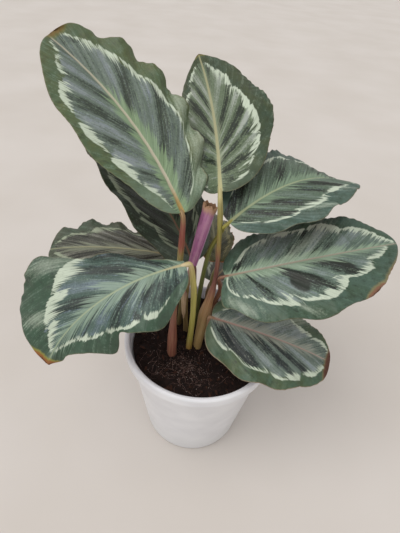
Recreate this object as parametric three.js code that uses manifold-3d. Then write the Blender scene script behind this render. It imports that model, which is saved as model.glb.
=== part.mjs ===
// Potted calathea: a white plastic pot, its soil, ten open leaves with waved edges, one leaf still rolled.
// Millimetres, +Z up. The origin is the centre of the pot's base, and the plant's front faces -Y.

import * as THREE from "three";
import * as BufferGeometryUtils from "three/addons/utils/BufferGeometryUtils.js";
import Module from "manifold-3d";

const wasm = await Module();
wasm.setup();

// Pot
const POT_HEIGHT = 117;
const RIM_OUTER_RADIUS = 65;
const RIM_BAND_HEIGHT = 9.5;
const BODY_TOP_RADIUS = 60.6;
const BASE_RADIUS = 45;
const WALL = 2;
const RIM_WALL = 4.6;
const BASE_ROUNDING = 3.5;
const FLOOR_THICKNESS = 2.6;
const POT_SEGMENTS = 40;

// Soil
const SOIL_TOP = 108;
const SOIL_RELIEF = 1.3;
const SOIL_RINGS = 7;
const SOIL_SEGMENTS = 36;
const STEM_DEPTH_IN_SOIL = 16;

// Clearances between pieces that touch
const GAP = 0.3;
const JOINT_GAP = 0.7;

// Blade: a thin sheet with a keel under its midrib
const BLADE_THICKNESS = 0.8;
const KEEL_DEPTH = 1.5;
const KEEL_HALF_WIDTH = 1.7;
const KEEL_TIP_HALF_WIDTH = 0.7;
const BASE_SHOULDER = 1.2;
const TIP_SHOULDER = 0.5;
const LOBE_LENGTH_SHARE = 0.12;
const WAVE_SLANT = 0.18;
const WAVE_EXPONENT = 3;
const SCALLOP_SHARE = 0.45;
const MIDRIB_STEPS = 120;
const COLUMN_SHARES = [0, 0.32, 0.6, 0.83, 1];

// Stems
const STEM_SIDES = 8;
const STEM_STEPS = 11;

// Every open leaf. Angles in degrees, lengths in millimetres.
// joint: where the blade meets its stalk, with lead as the straight end of the stalk before it.
// heading: compass of the midrib from +X towards +Y, and sweep, how far it turns on by the tip.
// rise: slope at the base, and droop, how far it falls by the tip.
// roll: lean of the right side downwards, and twist, how far it turns on.
// fold and arch: slope of each half at the midrib, and how far it falls by the edge, as [left, right].
// peak: widest place along the blade, with skew added for the right half and taken off for the left.
// tipPower: how blunt each side's tip is. lopside: extra width of the right half.
// lobe: how far the blade's shoulders sweep back past the joint, as a share of its length.
// waves: height, number and start of the edge's waves on the left and on the right.
// bumps: places where the edge stands out or in, as [side, place along the blade, height, spread].
// stem: the stalk's route up from the soil. radii: its radius at even steps from foot to joint.
const LEAVES = [
  {
    name: "upper_left", joint: [-20, -9, 246],
    heading: 126, sweep: 37, rise: 36, droop: 8, roll: 13, twist: -31,
    length: 153, width: 90, fold: [10, 12], arch: [8, 5], tipPower: [0.52, 0.43], peak: 0.485, skew: 0.02,
    lopside: -0.01, lobe: 0.02, waves: [[1.8, 2.8, 0.4], [3.9, 5.9, 0.58]], rows: 24, lead: 2,
    bumps: [[1, 0.985, 2.5, 0.025]],
    stem: [[-22, -16, 108], [-22, -12, 160], [-19.7, -9, 208]], radii: [4, 2.4, 1.8, 2.3, 1.7],
    colour: 0x4a6b50, stemColour: 0x9a4f45,
  },
  {
    name: "upper_middle", joint: [3, 5, 257],
    heading: 97, sweep: 13, rise: 28, droop: 8, roll: -14, twist: -4,
    length: 136, width: 81, fold: [-31, -2], arch: [14, 20], tipPower: [0.71, 0.76], peak: 0.51, skew: 0,
    lopside: 0.1, lobe: 0.02, waves: [[2.2, 3.9, 0], [2.7, 2.9, 0.03]], rows: 20, lead: 6,
    bumps: [[-1, 0.87, 6, 0.09]],
    stem: [[-1, -6, 108], [2.5, -3, 147], [7.5, -1, 188], [5.5, 3, 236]],
    radii: [3.7, 4.2, 5, 3.2, 1.8, 1.7, 1.7, 2, 1.6],
    colour: 0x47684d, stemColour: 0x8a8147,
  },
  {
    name: "upper_right", joint: [12, 3, 235],
    heading: 36.5, sweep: -5, rise: 32.5, droop: 68, roll: 30, twist: -49,
    length: 124, width: 77, fold: [9, 9], arch: [10, 10], tipPower: [0.62, 0.85], peak: 0.48, skew: 0,
    lopside: -0.01, lobe: 0.02, waves: [[1.2, 5.2, 0.28], [1.9, 4.4, 0.98]], rows: 22, lead: 5,
    bumps: [[-1, 0.66, 5.5, 0.1], [-1, 0.95, 4.5, 0.04], [1, 0.42, 2, 0.05]],
    stem: [[-5, 18, 108], [-4, 15, 150], [1, 11, 203], [8.5, 7, 226]], radii: [2.2, 2, 1.8, 1.7, 1.3],
    colour: 0x44664d, stemColour: 0x6f7a35,
  },
  {
    name: "middle_right", joint: [14, -7, 194],
    heading: 0, sweep: 27, rise: 23, droop: 27, roll: 10, twist: 18,
    length: 135, width: 84, fold: [2, 2], arch: [17, 17], tipPower: [0.48, 0.51], peak: 0.38, skew: 0,
    lopside: 0.05, lobe: 0.09, waves: [[2.4, 3.15, 0.3], [3, 3.75, 0.86]], rows: 20, lead: 4,
    bumps: [[1, 0.03, 5, 0.03]],
    stem: [[7, 6, 108], [8, 7, 145], [12.5, 1, 172]], radii: [2.2, 2, 1.9, 2, 1.3],
    colour: 0x4a6e55, stemColour: 0x8c5a3c,
  },
  {
    name: "lower_right", joint: [8, -13, 155],
    heading: -11.5, sweep: 14, rise: -3, droop: 28, roll: 21, twist: 4,
    length: 106, width: 71.5, fold: [5, 5], arch: [13, 13], tipPower: [0.45, 0.41], peak: 0.415, skew: 0,
    lopside: 0.095, lobe: 0.08, waves: [[2.3, 2.8, 0.13], [2.5, 3.7, 0.36]], rows: 18, lead: 1.5,
    stem: [[10, -8, 108], [9, -10, 130], [6.5, -12.5, 145]], radii: [2.2, 1.9, 1.8, 1.8, 1.5],
    colour: 0x48695a, stemColour: 0x8a6a50,
  },
  {
    name: "front_left", joint: [-15, -19, 211],
    heading: 207, sweep: 5, rise: -2, droop: 66, roll: -16, twist: -15,
    length: 127, width: 85, fold: [-5, 8], arch: [19, 9], tipPower: [0.99, 1.02], peak: 0.53, skew: 0.18,
    lopside: 0.2, lobe: -0.02, waves: [[7, 2.45, 0.73], [4.8, 3.3, 0.63]], rows: 26, lead: 3,
    bumps: [[-1, 0.64, 4.5, 0.055], [-1, 0.51, -4.5, 0.045], [-1, 0.93, 3.5, 0.05],
      [1, 0.63, 3, 0.035], [1, 0.85, 2, 0.04], [1, 0.97, 2, 0.03]],
    stem: [[-8, -9, 108], [-7, -14, 162], [-8.5, -17, 192]], radii: [2.6, 2.3, 2.2, 2.4, 1.9],
    colour: 0x4c7059, stemColour: 0x8f8f48,
  },
  {
    name: "back_left", joint: [-23, 23, 184],
    heading: 179, sweep: -2, rise: 5, droop: 23, roll: -4, twist: -10,
    length: 112, width: 58, fold: [8, 8], arch: [12, 12], tipPower: [0.5, 0.42], peak: 0.66, skew: 0,
    lopside: 0, lobe: 0.02, waves: [[1.5, 3.4, 0.3], [3.2, 4.4, 0.73]], rows: 20, lead: 3.5,
    bumps: [[1, 0.93, 3, 0.05]],
    stem: [[-20, 18, 108], [-19, 20, 150], [-19.5, 22, 177]], radii: [2.3, 2, 1.8, 2.1, 1.9],
    colour: 0x41604a, stemColour: 0x7c7a45,
  },
  {
    name: "shaded", joint: [-12, 20, 182],
    heading: 137, sweep: 13, rise: 53, droop: 58, roll: 2, twist: 5,
    length: 145, width: 80, fold: [11, 11], arch: [8, 8], tipPower: [0.6, 0.6], peak: 0.43, skew: 0,
    lopside: 0, lobe: 0.02, waves: [[2, 3.6, 0.4], [2, 4, 0.1]], rows: 18, lead: 4,
    stem: [[-8, 26, 108], [-9, 23, 140], [-10, 19.5, 168]], radii: [2.3, 2, 1.8, 2.2, 2],
    colour: 0x2f4a35, stemColour: 0x7d5a42,
  },
  {
    name: "rear", joint: [8, 27, 180],
    heading: 100, sweep: -6, rise: 14, droop: 40, roll: 4, twist: 10,
    length: 88, width: 36, fold: [8, 8], arch: [16, 22], tipPower: [0.6, 0.6], peak: 0.44, skew: 0,
    lopside: 0, lobe: 0.04, waves: [[1.8, 3.4, 0.2], [2, 3.4, 0.5]], rows: 14, lead: 4,
    stem: [[4, 18, 108], [5, 20, 145], [6, 23, 168]], radii: [2.1, 1.8, 1.6, 1.9, 1.7],
    colour: 0x3b5a40, stemColour: 0x6f7038,
  },
  {
    name: "rear_low", joint: [6, 36, 150],
    heading: 62, sweep: 8, rise: 4, droop: 40, roll: 6, twist: 0,
    length: 66, width: 40, fold: [-2, -2], arch: [18, 18], tipPower: [0.6, 0.6], peak: 0.44, skew: 0,
    lopside: 0, lobe: 0.04, waves: [[1.2, 2.6, 0.3], [1.2, 2.8, 0.6]], rows: 10, lead: 3,
    stem: [[2, 28, 108], [2.5, 30, 125], [3, 32, 142]], radii: [1.9, 1.6, 1.5, 1.7, 1.6],
    colour: 0x3f5c45, stemColour: 0x75603f,
  },
];

// Rolled young leaf and its stalk
const ROLLED = {
  foot: [-13, 11, 108],
  stalk: [[-15, 10, 148], [-14, 9, 170], [-11.5, 8.5, 190]],
  top: [-2, 10, 244],
  stalkRadii: [2.6, 2.2, 2.1, 2.2],
  bottomRadius: 4.1,
  topRadius: 5.4,
  flare: 0.9,
  thickness: 0.7,
  turns: 1.55,
  pitch: 1.15,
  startAngle: 127,
  columns: 18,
  rows: 9,
};

// Dry sheath round the rolled leaf's stalk: from, to, tear and slope are shares of the stalk's length.
const SHEATH = {
  from: 0.36,
  to: 0.8,
  tear: 0.12,
  slope: 0.1,
  lowRadius: 3.3,
  highRadius: 5,
  thickness: 0.6,
  startAngle: 115,
  endAngle: 285,
  columns: 8,
  rows: 7,
};

const WHITE_PLASTIC = { color: 0xe9e7e6, roughness: 0.38, metalness: 0 };
const DARK_SOIL = { color: 0x1d1512, roughness: 0.95, metalness: 0 };
const MAUVE_LEAF = { color: 0x8f5579, roughness: 0.5, metalness: 0 };
const TAN_STALK = { color: 0x8d7a52, roughness: 0.55, metalness: 0 };
const DRY_SHEATH = { color: 0xa58a6a, roughness: 0.8, metalness: 0 };

const vector = (p) => new THREE.Vector3(...p);
const radians = THREE.MathUtils.degToRad;
const lerp = THREE.MathUtils.lerp;

function leafMaterial(colour) {
  return new THREE.MeshStandardMaterial({ color: colour, roughness: 0.45, metalness: 0 });
}

function named(name, geometry, material) {
  const mesh = new THREE.Mesh(geometry, material);
  mesh.name = name;
  return mesh;
}

// Keep only the positions of a closed geometry and weld its vertices.
function welded(geometry) {
  geometry.deleteAttribute("normal");
  geometry.deleteAttribute("uv");
  return BufferGeometryUtils.mergeVertices(geometry, 1e-4);
}

function toManifold(geometry) {
  const mesh = new wasm.Mesh({
    numProp: 3,
    vertProperties: new Float32Array(geometry.attributes.position.array),
    triVerts: new Uint32Array(geometry.index.array),
  });
  return new wasm.Manifold(mesh);
}

function fromManifold(solid) {
  const mesh = solid.getMesh();
  const geometry = new THREE.BufferGeometry();
  geometry.setAttribute("position", new THREE.BufferAttribute(mesh.vertProperties, 3));
  geometry.setIndex(new THREE.BufferAttribute(mesh.triVerts, 1));
  geometry.computeVertexNormals();
  return geometry;
}

// A closed sheet over a grid. placeAt(x, y) gives the middle surface for x and y in 0..1, with its normal
// and its thickness above and below. Both faces are split along the same diagonals.
function sheetSolid(columns, rows, placeAt) {
  const plane = new THREE.PlaneGeometry(1, 1, columns, rows);
  const count = plane.attributes.position.count;
  const positions = new Float32Array(count * 6);
  for (let i = 0; i < count; i++) {
    const x = plane.attributes.position.getX(i) + 0.5;
    const y = plane.attributes.position.getY(i) + 0.5;
    const { point, normal, above, below } = placeAt(x, y);
    point.clone().addScaledVector(normal, above).toArray(positions, i * 3);
    point.clone().addScaledVector(normal, -below).toArray(positions, (count + i) * 3);
  }
  const upper = Array.from(plane.index.array);
  const faces = [...upper];
  for (let i = 0; i < upper.length; i += 3) {
    faces.push(count + upper[i], count + upper[i + 2], count + upper[i + 1]);
  }
  const rim = rimOfGrid(columns, rows);
  for (let i = 0; i < rim.length; i++) {
    const from = rim[i];
    const to = rim[(i + 1) % rim.length];
    faces.push(from, count + from, count + to);
    faces.push(from, count + to, to);
  }
  const geometry = new THREE.BufferGeometry();
  geometry.setAttribute("position", new THREE.BufferAttribute(positions, 3));
  geometry.setIndex(faces);
  geometry.computeVertexNormals();
  return geometry;
}

// Vertex numbers round a plane's grid, anticlockwise seen from above.
function rimOfGrid(columns, rows) {
  const at = (column, row) => row * (columns + 1) + column;
  const rim = [];
  for (let column = 0; column < columns; column++) {
    rim.push(at(column, rows));
  }
  for (let row = rows; row > 0; row--) {
    rim.push(at(columns, row));
  }
  for (let column = columns; column > 0; column--) {
    rim.push(at(column, 0));
  }
  for (let row = 0; row < rows; row++) {
    rim.push(at(0, row));
  }
  return rim;
}

// A closed tube along a curve, with its radius read off a short list of even steps.
function taperedTube(points, radii, sides, steps) {
  const curve = new THREE.CatmullRomCurve3(points, false, "centripetal");
  const frames = curve.computeFrenetFrames(steps, false);
  const tube = welded(new THREE.CylinderGeometry(1, 1, 1, sides, steps));
  const position = tube.attributes.position;
  for (let i = 0; i < position.count; i++) {
    const along = THREE.MathUtils.clamp(0.5 - position.getY(i), 0, 1);
    const step = Math.round(along * steps);
    const radius = radiusAlong(radii, along);
    const place = curve.getPointAt(step / steps);
    place.addScaledVector(frames.normals[step], position.getX(i) * radius);
    place.addScaledVector(frames.binormals[step], position.getZ(i) * radius);
    position.setXYZ(i, place.x, place.y, place.z);
  }
  tube.computeVertexNormals();
  return tube;
}

function radiusAlong(radii, along) {
  const place = along * (radii.length - 1);
  const index = Math.min(Math.floor(place), radii.length - 2);
  const blend = THREE.MathUtils.smoothstep(place - index, 0, 1);
  return lerp(radii[index], radii[index + 1], blend);
}

// The blade's form

// Directions at a place along the midrib: towards the tip, to the right, and up out of the blade.
function midribFrame(leaf, u) {
  const heading = radians(leaf.heading + leaf.sweep * u);
  const slope = radians(leaf.rise - leaf.droop * u ** 1.2);
  const lean = radians(leaf.roll + leaf.twist * u);
  const forward = new THREE.Vector3(
    Math.cos(slope) * Math.cos(heading),
    Math.cos(slope) * Math.sin(heading),
    Math.sin(slope),
  );
  const level = new THREE.Vector3(Math.sin(heading), -Math.cos(heading), 0);
  const upright = new THREE.Vector3().crossVectors(level, forward);
  const right = level.clone().multiplyScalar(Math.cos(lean)).addScaledVector(upright, -Math.sin(lean));
  const up = upright.clone().multiplyScalar(Math.cos(lean)).addScaledVector(level, Math.sin(lean));
  return { forward, right, up };
}

// Points along the midrib in even steps, by adding up its directions.
function midribPoints(leaf) {
  const step = leaf.length / MIDRIB_STEPS;
  const points = [vector(leaf.joint)];
  for (let i = 0; i < MIDRIB_STEPS; i++) {
    const { forward } = midribFrame(leaf, (i + 0.5) / MIDRIB_STEPS);
    points.push(points[i].clone().addScaledVector(forward, step));
  }
  return points;
}

function midribAt(points, u) {
  const place = THREE.MathUtils.clamp(u, 0, 1) * MIDRIB_STEPS;
  const index = Math.min(Math.floor(place), MIDRIB_STEPS - 1);
  return points[index].clone().lerp(points[index + 1], place - index);
}

function keelHalfWidth(u) {
  return lerp(KEEL_HALF_WIDTH, KEEL_TIP_HALF_WIDTH, u);
}

// Half width of one side: an oval, widest at the peak, that meets the stalk and the tip in short shoulders.
function halfWidth(leaf, u, side) {
  const index = side < 0 ? 0 : 1;
  const peak = leaf.peak + side * leaf.skew;
  const stretched = THREE.MathUtils.clamp(u, 0, 1) ** (Math.log(0.5) / Math.log(peak));
  const power = lerp(0.5, leaf.tipPower[index], u);
  const oval = Math.max(Math.sin(Math.PI * stretched), 0) ** power;
  let wide = oval * (leaf.width / 2) * (1 + side * leaf.lopside);
  for (const [bumpSide, place, height, spread] of leaf.bumps ?? []) {
    if (bumpSide === side) {
      wide += height * Math.exp(-(((u - place) / spread) ** 2));
    }
  }
  const shoulder = keelHalfWidth(u) + lerp(BASE_SHOULDER, TIP_SHOULDER, u);
  return Math.hypot(wide, shoulder);
}

// A point of the blade's middle surface. u runs from stalk to tip, across from the left edge to the right.
function bladePoint(leaf, points, u, across) {
  const side = across < 0 ? -1 : 1;
  const index = side < 0 ? 0 : 1;
  const share = Math.abs(across);
  const half = halfWidth(leaf, u, side);
  const fold = radians(leaf.fold[index]);
  const arch = radians(leaf.arch[index]);
  const outward = (half * (Math.sin(fold) - Math.sin(fold - arch * share))) / arch;
  const upward = (half * (Math.cos(fold - arch * share) - Math.cos(fold))) / arch;
  const fullness = half / (leaf.width / 2);
  const back = leaf.lobe * leaf.length * share * fullness * Math.exp(-u / LOBE_LENGTH_SHARE);
  const [height, number, start] = leaf.waves[index];
  const phase = 2 * Math.PI * (number * (u - WAVE_SLANT * share) + start);
  const reach = height * share ** WAVE_EXPONENT * Math.min(1, 1.4 * fullness);
  const { forward, right, up } = midribFrame(leaf, u);
  return midribAt(points, u)
    .addScaledVector(right, side * (outward + SCALLOP_SHARE * reach * Math.cos(phase)))
    .addScaledVector(up, upward + reach * Math.sin(phase))
    .addScaledVector(forward, -back);
}

function bladeNormal(leaf, points, u, across) {
  const nudge = 0.004;
  const u0 = Math.max(u - nudge, 0);
  const u1 = Math.min(u + nudge, 1);
  const along = bladePoint(leaf, points, u1, across).sub(bladePoint(leaf, points, u0, across));
  const a0 = Math.max(across - nudge, -1);
  const a1 = Math.min(across + nudge, 1);
  const sideways = bladePoint(leaf, points, u, a1).sub(bladePoint(leaf, points, u, a0));
  return sideways.cross(along).normalize();
}

// Rows crowd together near the stalk and the tip, where the outline turns fastest.
function rowPlace(y) {
  return y - (0.55 / (2 * Math.PI)) * Math.sin(2 * Math.PI * y);
}

// Columns: the keel's ridge, its two edges, then even shares out to the blade's edge on each side.
function columnPlace(leaf, u, x) {
  const reach = COLUMN_SHARES.length;
  const column = Math.round((x - 0.5) * 2 * reach);
  if (column === 0) {
    return 0;
  }
  const side = Math.sign(column);
  const half = halfWidth(leaf, u, side);
  const keel = keelHalfWidth(u) / half;
  return side * lerp(keel, 1, COLUMN_SHARES[Math.abs(column) - 1]);
}

function blade(leaf) {
  const points = midribPoints(leaf);
  const columns = 2 * COLUMN_SHARES.length;
  return sheetSolid(columns, leaf.rows, (x, y) => {
    const u = rowPlace(y);
    const across = columnPlace(leaf, u, x);
    const keel = across === 0 ? lerp(KEEL_DEPTH, 0.3, u) : 0;
    return {
      point: bladePoint(leaf, points, u, across),
      normal: bladeNormal(leaf, points, u, across),
      above: BLADE_THICKNESS / 2,
      below: BLADE_THICKNESS / 2 + keel,
    };
  });
}

// A stalk from inside the soil up to the blade, thick at its sheathing foot and again at the joint.
function petiole(leaf) {
  const { forward, up } = midribFrame(leaf, 0);
  const joint = vector(leaf.joint).addScaledVector(up, -KEEL_DEPTH / 2);
  const foot = vector(leaf.stem[0]);
  foot.z -= STEM_DEPTH_IN_SOIL;
  const points = [foot, ...leaf.stem.map(vector)];
  points.push(joint.clone().addScaledVector(forward, -leaf.lead));
  points.push(joint.clone().addScaledVector(forward, -JOINT_GAP));
  return taperedTube(points, [leaf.radii[0], ...leaf.radii], STEM_SIDES, STEM_STEPS);
}

// The rolled leaf: a sheet wound round its own axis, wider towards its open top.
function rolledBlade() {
  const bottom = vector(ROLLED.stalk[ROLLED.stalk.length - 1]);
  const top = vector(ROLLED.top);
  const axis = top.clone().sub(bottom).normalize();
  const start = bottom.clone().addScaledVector(axis, JOINT_GAP);
  const acrossAxis = new THREE.Vector3(0, 1, 0).cross(axis).normalize();
  const other = axis.clone().cross(acrossAxis);
  return sheetSolid(ROLLED.columns, ROLLED.rows, (x, y) => {
    const outer = lerp(ROLLED.bottomRadius, ROLLED.topRadius, Math.sin((y * Math.PI) / 2))
      + ROLLED.flare * THREE.MathUtils.smoothstep(y, 0.86, 1);
    const radius = outer - ROLLED.pitch * ROLLED.turns * (1 - x);
    const angle = 2 * Math.PI * ROLLED.turns * x + radians(ROLLED.startAngle);
    const outwards = acrossAxis.clone().multiplyScalar(Math.cos(angle));
    outwards.addScaledVector(other, Math.sin(angle));
    const point = start.clone().lerp(top, y).addScaledVector(outwards, radius);
    return { point, normal: outwards, above: 0, below: ROLLED.thickness };
  });
}

function rolledStalkRoute() {
  const foot = vector(ROLLED.foot);
  const buried = foot.clone();
  buried.z -= STEM_DEPTH_IN_SOIL;
  return [buried, foot, ...ROLLED.stalk.map(vector)];
}

function rolledStalk() {
  return taperedTube(rolledStalkRoute(), ROLLED.stalkRadii, STEM_SIDES, STEM_STEPS);
}

// The dry sheath: a thin sheet part of the way round the stalk, torn into two strands at its lower edge.
function drySheath() {
  const route = new THREE.CatmullRomCurve3(rolledStalkRoute(), false, "centripetal");
  return sheetSolid(SHEATH.columns, SHEATH.rows, (x, y) => {
    const low = SHEATH.from + SHEATH.tear * (1 - Math.abs(Math.sin(2 * Math.PI * x)));
    const high = SHEATH.to - SHEATH.slope * Math.abs(2 * x - 1);
    const along = lerp(low, high, y);
    const angle = radians(lerp(SHEATH.startAngle, SHEATH.endAngle, x));
    const outwards = new THREE.Vector3(Math.cos(angle), Math.sin(angle), 0);
    const rise = (along - SHEATH.from) / (SHEATH.to - SHEATH.from);
    const radius = lerp(SHEATH.lowRadius, SHEATH.highRadius, rise ** 1.5);
    const point = route.getPointAt(along).addScaledVector(outwards, radius);
    return { point, normal: outwards, above: 0, below: SHEATH.thickness };
  });
}

// Outer and inner radius of the pot's wall below the rim band
function wallRadius(z) {
  return lerp(BASE_RADIUS, BODY_TOP_RADIUS, z / (POT_HEIGHT - RIM_BAND_HEIGHT));
}

function arcPoints(centreX, centreZ, radius, from, to, steps) {
  const points = [];
  for (let i = 0; i <= steps; i++) {
    const angle = radians(lerp(from, to, i / steps));
    points.push(new THREE.Vector2(centreX + radius * Math.cos(angle), centreZ + radius * Math.sin(angle)));
  }
  return points;
}

function lathe(profile, segments) {
  const geometry = new THREE.LatheGeometry(profile, segments);
  geometry.rotateX(Math.PI / 2);
  return welded(geometry);
}

function pot() {
  const bandBottom = POT_HEIGHT - RIM_BAND_HEIGHT;
  const lip = RIM_WALL / 2;
  const profile = [
    new THREE.Vector2(0, 0),
    ...arcPoints(BASE_RADIUS - BASE_ROUNDING, BASE_ROUNDING, BASE_ROUNDING, -90, -8, 4),
    new THREE.Vector2(wallRadius(bandBottom - 2.4), bandBottom - 2.4),
    new THREE.Vector2(wallRadius(bandBottom) + 0.5, bandBottom - 0.6),
    ...arcPoints(RIM_OUTER_RADIUS - 1.4, bandBottom + 1.4, 1.4, -80, 0, 2),
    ...arcPoints(RIM_OUTER_RADIUS - lip, POT_HEIGHT - lip, lip, 0, 180, 8),
    new THREE.Vector2(RIM_OUTER_RADIUS - RIM_WALL - 0.6, bandBottom + 3),
    new THREE.Vector2(wallRadius(bandBottom) - WALL, bandBottom - 3),
    new THREE.Vector2(wallRadius(FLOOR_THICKNESS + 2) - WALL, FLOOR_THICKNESS + 2),
    new THREE.Vector2(wallRadius(FLOOR_THICKNESS) - WALL - 2, FLOOR_THICKNESS),
    new THREE.Vector2(0, FLOOR_THICKNESS),
  ];
  return lathe(profile, POT_SEGMENTS);
}

// Uneven surface of the soil: a few slow waves, higher round the stems.
function soilRelief(x, y) {
  const lumps = Math.sin(x * 0.21 + 1.3) * Math.cos(y * 0.17 - 0.6) + 0.6 * Math.sin(x * 0.47 - y * 0.39);
  const mound = 1.2 * Math.exp(-(x * x + y * y) / 900);
  return SOIL_RELIEF * (0.6 * lumps + mound);
}

function soilBody() {
  const edgeRadius = wallRadius(SOIL_TOP - 4) - WALL - GAP;
  const bottom = FLOOR_THICKNESS + 2 + GAP;
  const profile = [
    new THREE.Vector2(0, bottom),
    new THREE.Vector2(wallRadius(bottom) - WALL - GAP, bottom),
    new THREE.Vector2(wallRadius(SOIL_TOP - 8) - WALL - GAP, SOIL_TOP - 8),
  ];
  for (let ring = SOIL_RINGS; ring >= 0; ring--) {
    const share = ring / SOIL_RINGS;
    profile.push(new THREE.Vector2(edgeRadius * share, SOIL_TOP - 1.6 * share ** 6));
  }
  const geometry = lathe(profile, SOIL_SEGMENTS);
  const position = geometry.attributes.position;
  for (let i = 0; i < position.count; i++) {
    const x = position.getX(i);
    const y = position.getY(i);
    const z = position.getZ(i);
    if (z > SOIL_TOP - 5) {
      const fade = THREE.MathUtils.smoothstep(edgeRadius - Math.hypot(x, y), 0, 6);
      position.setZ(i, z + fade * soilRelief(x, y));
    }
  }
  return geometry;
}

// A straight hole for a stem that stands in the soil, a little wider than the stem.
function stemHole(foot, radius) {
  const depth = STEM_DEPTH_IN_SOIL + GAP;
  const shaft = new THREE.CylinderGeometry(radius + GAP, radius + GAP, depth + 8, 16);
  shaft.rotateX(Math.PI / 2);
  shaft.translate(foot[0], foot[1], foot[2] - depth + (depth + 8) / 2);
  return toManifold(welded(shaft));
}

function soil() {
  const clear = 1.06;
  let solid = toManifold(soilBody());
  for (const leaf of LEAVES) {
    solid = solid.subtract(stemHole(leaf.stem[0], leaf.radii[0] * clear));
  }
  solid = solid.subtract(stemHole(ROLLED.foot, ROLLED.stalkRadii[0] * clear));
  return fromManifold(solid);
}

const plant = new THREE.Group();
plant.add(named("pot", pot(), new THREE.MeshStandardMaterial(WHITE_PLASTIC)));
plant.add(named("soil", soil(), new THREE.MeshStandardMaterial(DARK_SOIL)));
for (const leaf of LEAVES) {
  plant.add(named(`blade_${leaf.name}`, blade(leaf), leafMaterial(leaf.colour)));
  plant.add(named(`petiole_${leaf.name}`, petiole(leaf), leafMaterial(leaf.stemColour)));
}
plant.add(named("rolled_leaf", rolledBlade(), new THREE.MeshStandardMaterial(MAUVE_LEAF)));
plant.add(named("petiole_rolled_leaf", rolledStalk(), new THREE.MeshStandardMaterial(TAN_STALK)));
plant.add(named("dry_sheath", drySheath(), new THREE.MeshStandardMaterial(DRY_SHEATH)));

export default plant;
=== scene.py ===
# Potted calathea: fine leaves, stalks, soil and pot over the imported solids, lit in a plain studio.
# Blender's lengths are metres, +Z up. Design lengths below are millimetres, and MM turns them into metres.

import math

import bpy
import numpy as np
from mathutils import Matrix, Vector


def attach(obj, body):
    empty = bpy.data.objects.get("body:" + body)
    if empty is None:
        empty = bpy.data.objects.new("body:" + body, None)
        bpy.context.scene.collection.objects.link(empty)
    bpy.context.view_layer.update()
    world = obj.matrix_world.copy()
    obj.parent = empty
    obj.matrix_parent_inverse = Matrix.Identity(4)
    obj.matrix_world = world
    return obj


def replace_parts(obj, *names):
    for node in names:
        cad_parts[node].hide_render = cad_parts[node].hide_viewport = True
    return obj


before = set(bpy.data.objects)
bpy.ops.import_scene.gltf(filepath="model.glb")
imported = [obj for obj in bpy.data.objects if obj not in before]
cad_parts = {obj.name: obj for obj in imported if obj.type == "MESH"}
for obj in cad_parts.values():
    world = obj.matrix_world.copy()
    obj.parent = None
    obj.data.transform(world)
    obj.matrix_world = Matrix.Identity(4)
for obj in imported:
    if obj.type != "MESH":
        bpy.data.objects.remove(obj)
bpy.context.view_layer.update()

MM = 0.001
BODY = "root"

# Camera, at the photograph's place: focal length in pixels of a frame 400 wide and 533 high
FRAME_HEIGHT = 533
FOCAL_PIXELS = 400
SENSOR = 36.0
CAMERA_PLACE = (0.0, -0.233, 0.387)
CAMERA_YAW = -1.3
CAMERA_PITCH = 39.5
CAMERA_ROLL = 5.5

# Studio light
SUN_FROM = (-0.45, -0.35, 1.0)
SUN_STRENGTH = 1.5
SUN_ANGLE = 55
AIR_STRENGTH = 0.6
WARM_WHITE = (1.0, 0.97, 0.94)
FLOOR_HALF_SIZE = 8000

# Pot
POT_HEIGHT = 117
RIM_OUTER_RADIUS = 65
RIM_BAND_HEIGHT = 9.5
BODY_TOP_RADIUS = 60.6
BASE_RADIUS = 45
WALL = 2
RIM_WALL = 4.6
BASE_ROUNDING = 3.5
FLOOR_THICKNESS = 2.6
POT_SEGMENTS = 160

# Soil, with more of its fibres and pale specks in a patch in front of the stalks
SOIL_TOP = 108
SOIL_RELIEF = 1.3
SOIL_RINGS = 70
SOIL_SEGMENTS = 200
SOIL_EDGE_DROP = 1.6
SOIL_EDGE_FADE = 6
SOIL_GAP = 0.3
STEM_DEPTH_IN_SOIL = 16
FRONT_PATCH = (-10, -30)
FRONT_PATCH_SPREAD = (13, 10)
FRONT_PATCH_SHARE = 0.67
FIBRE_STEPS = 9
FIBRE_SIDES = 4
FIBRE_LENGTHS = (5, 13)
FIBRE_WANDER = 0.36
FIBRE_LIFT = 0.35
FIBRE_RADII = (0.07, 0.16)

# Blades: a thin sheet with a channel over its midrib, a keel under it and small folds along its edge
SHEET_HALF_THICKNESS = 0.2
KEEL_DEPTH = 1.5
KEEL_TIP_DEPTH = 0.25
KEEL_HALF_WIDTH = 1.7
KEEL_TIP_HALF_WIDTH = 0.7
BASE_SHOULDER = 1.2
TIP_SHOULDER = 0.5
LOBE_LENGTH_SHARE = 0.12
WAVE_SLANT = 0.18
WAVE_EXPONENT = 3
SCALLOP_SHARE = 0.45
RIPPLE_COUNTS = (9, 13, 19, 27)
RIPPLE_STRENGTHS = (0.2, 0.5)
RIPPLE_EXPONENT = 7
RIPPLE_OUT = 0.35
RIPPLE_UP = 0.8
MIDRIB_STEPS = 120
MIDRIB_CHANNEL = 0.45
CHANNEL_HALF_WIDTH = 1.5
CHANNEL_TIP_HALF_WIDTH = 0.8
CHANNEL_TIP_SHARE = 0.3
VEIN_SPACING = 4.6
VEIN_RELIEF = 0.14
SPOT_LEAN = 0.5
ZONE_REACH = 16
PLEAT_SPACING = 12.5
PLEAT_RELIEF = 0.4
RELIEF_FADE_AT_EDGE = 6
RELIEF_FADE_AT_MIDRIB = 5
EDGE_TAPER = 1.2
KEEL_FADE_AT_EDGE = 2
OUTLINE_STEPS = 400
PLAIN_RING_SHARE = 0.16
PLAIN_FLAMES = ((0.96, 0.72), (0.69, 0.42), (0.39, 0.08))
PLAIN_FLAME_WIDTHS = (5, 4, 1.5)
FINE_COLUMNS = 76
FINE_ROWS_PER_MM = 1.05
ROW_CROWDING = 0.55
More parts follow.
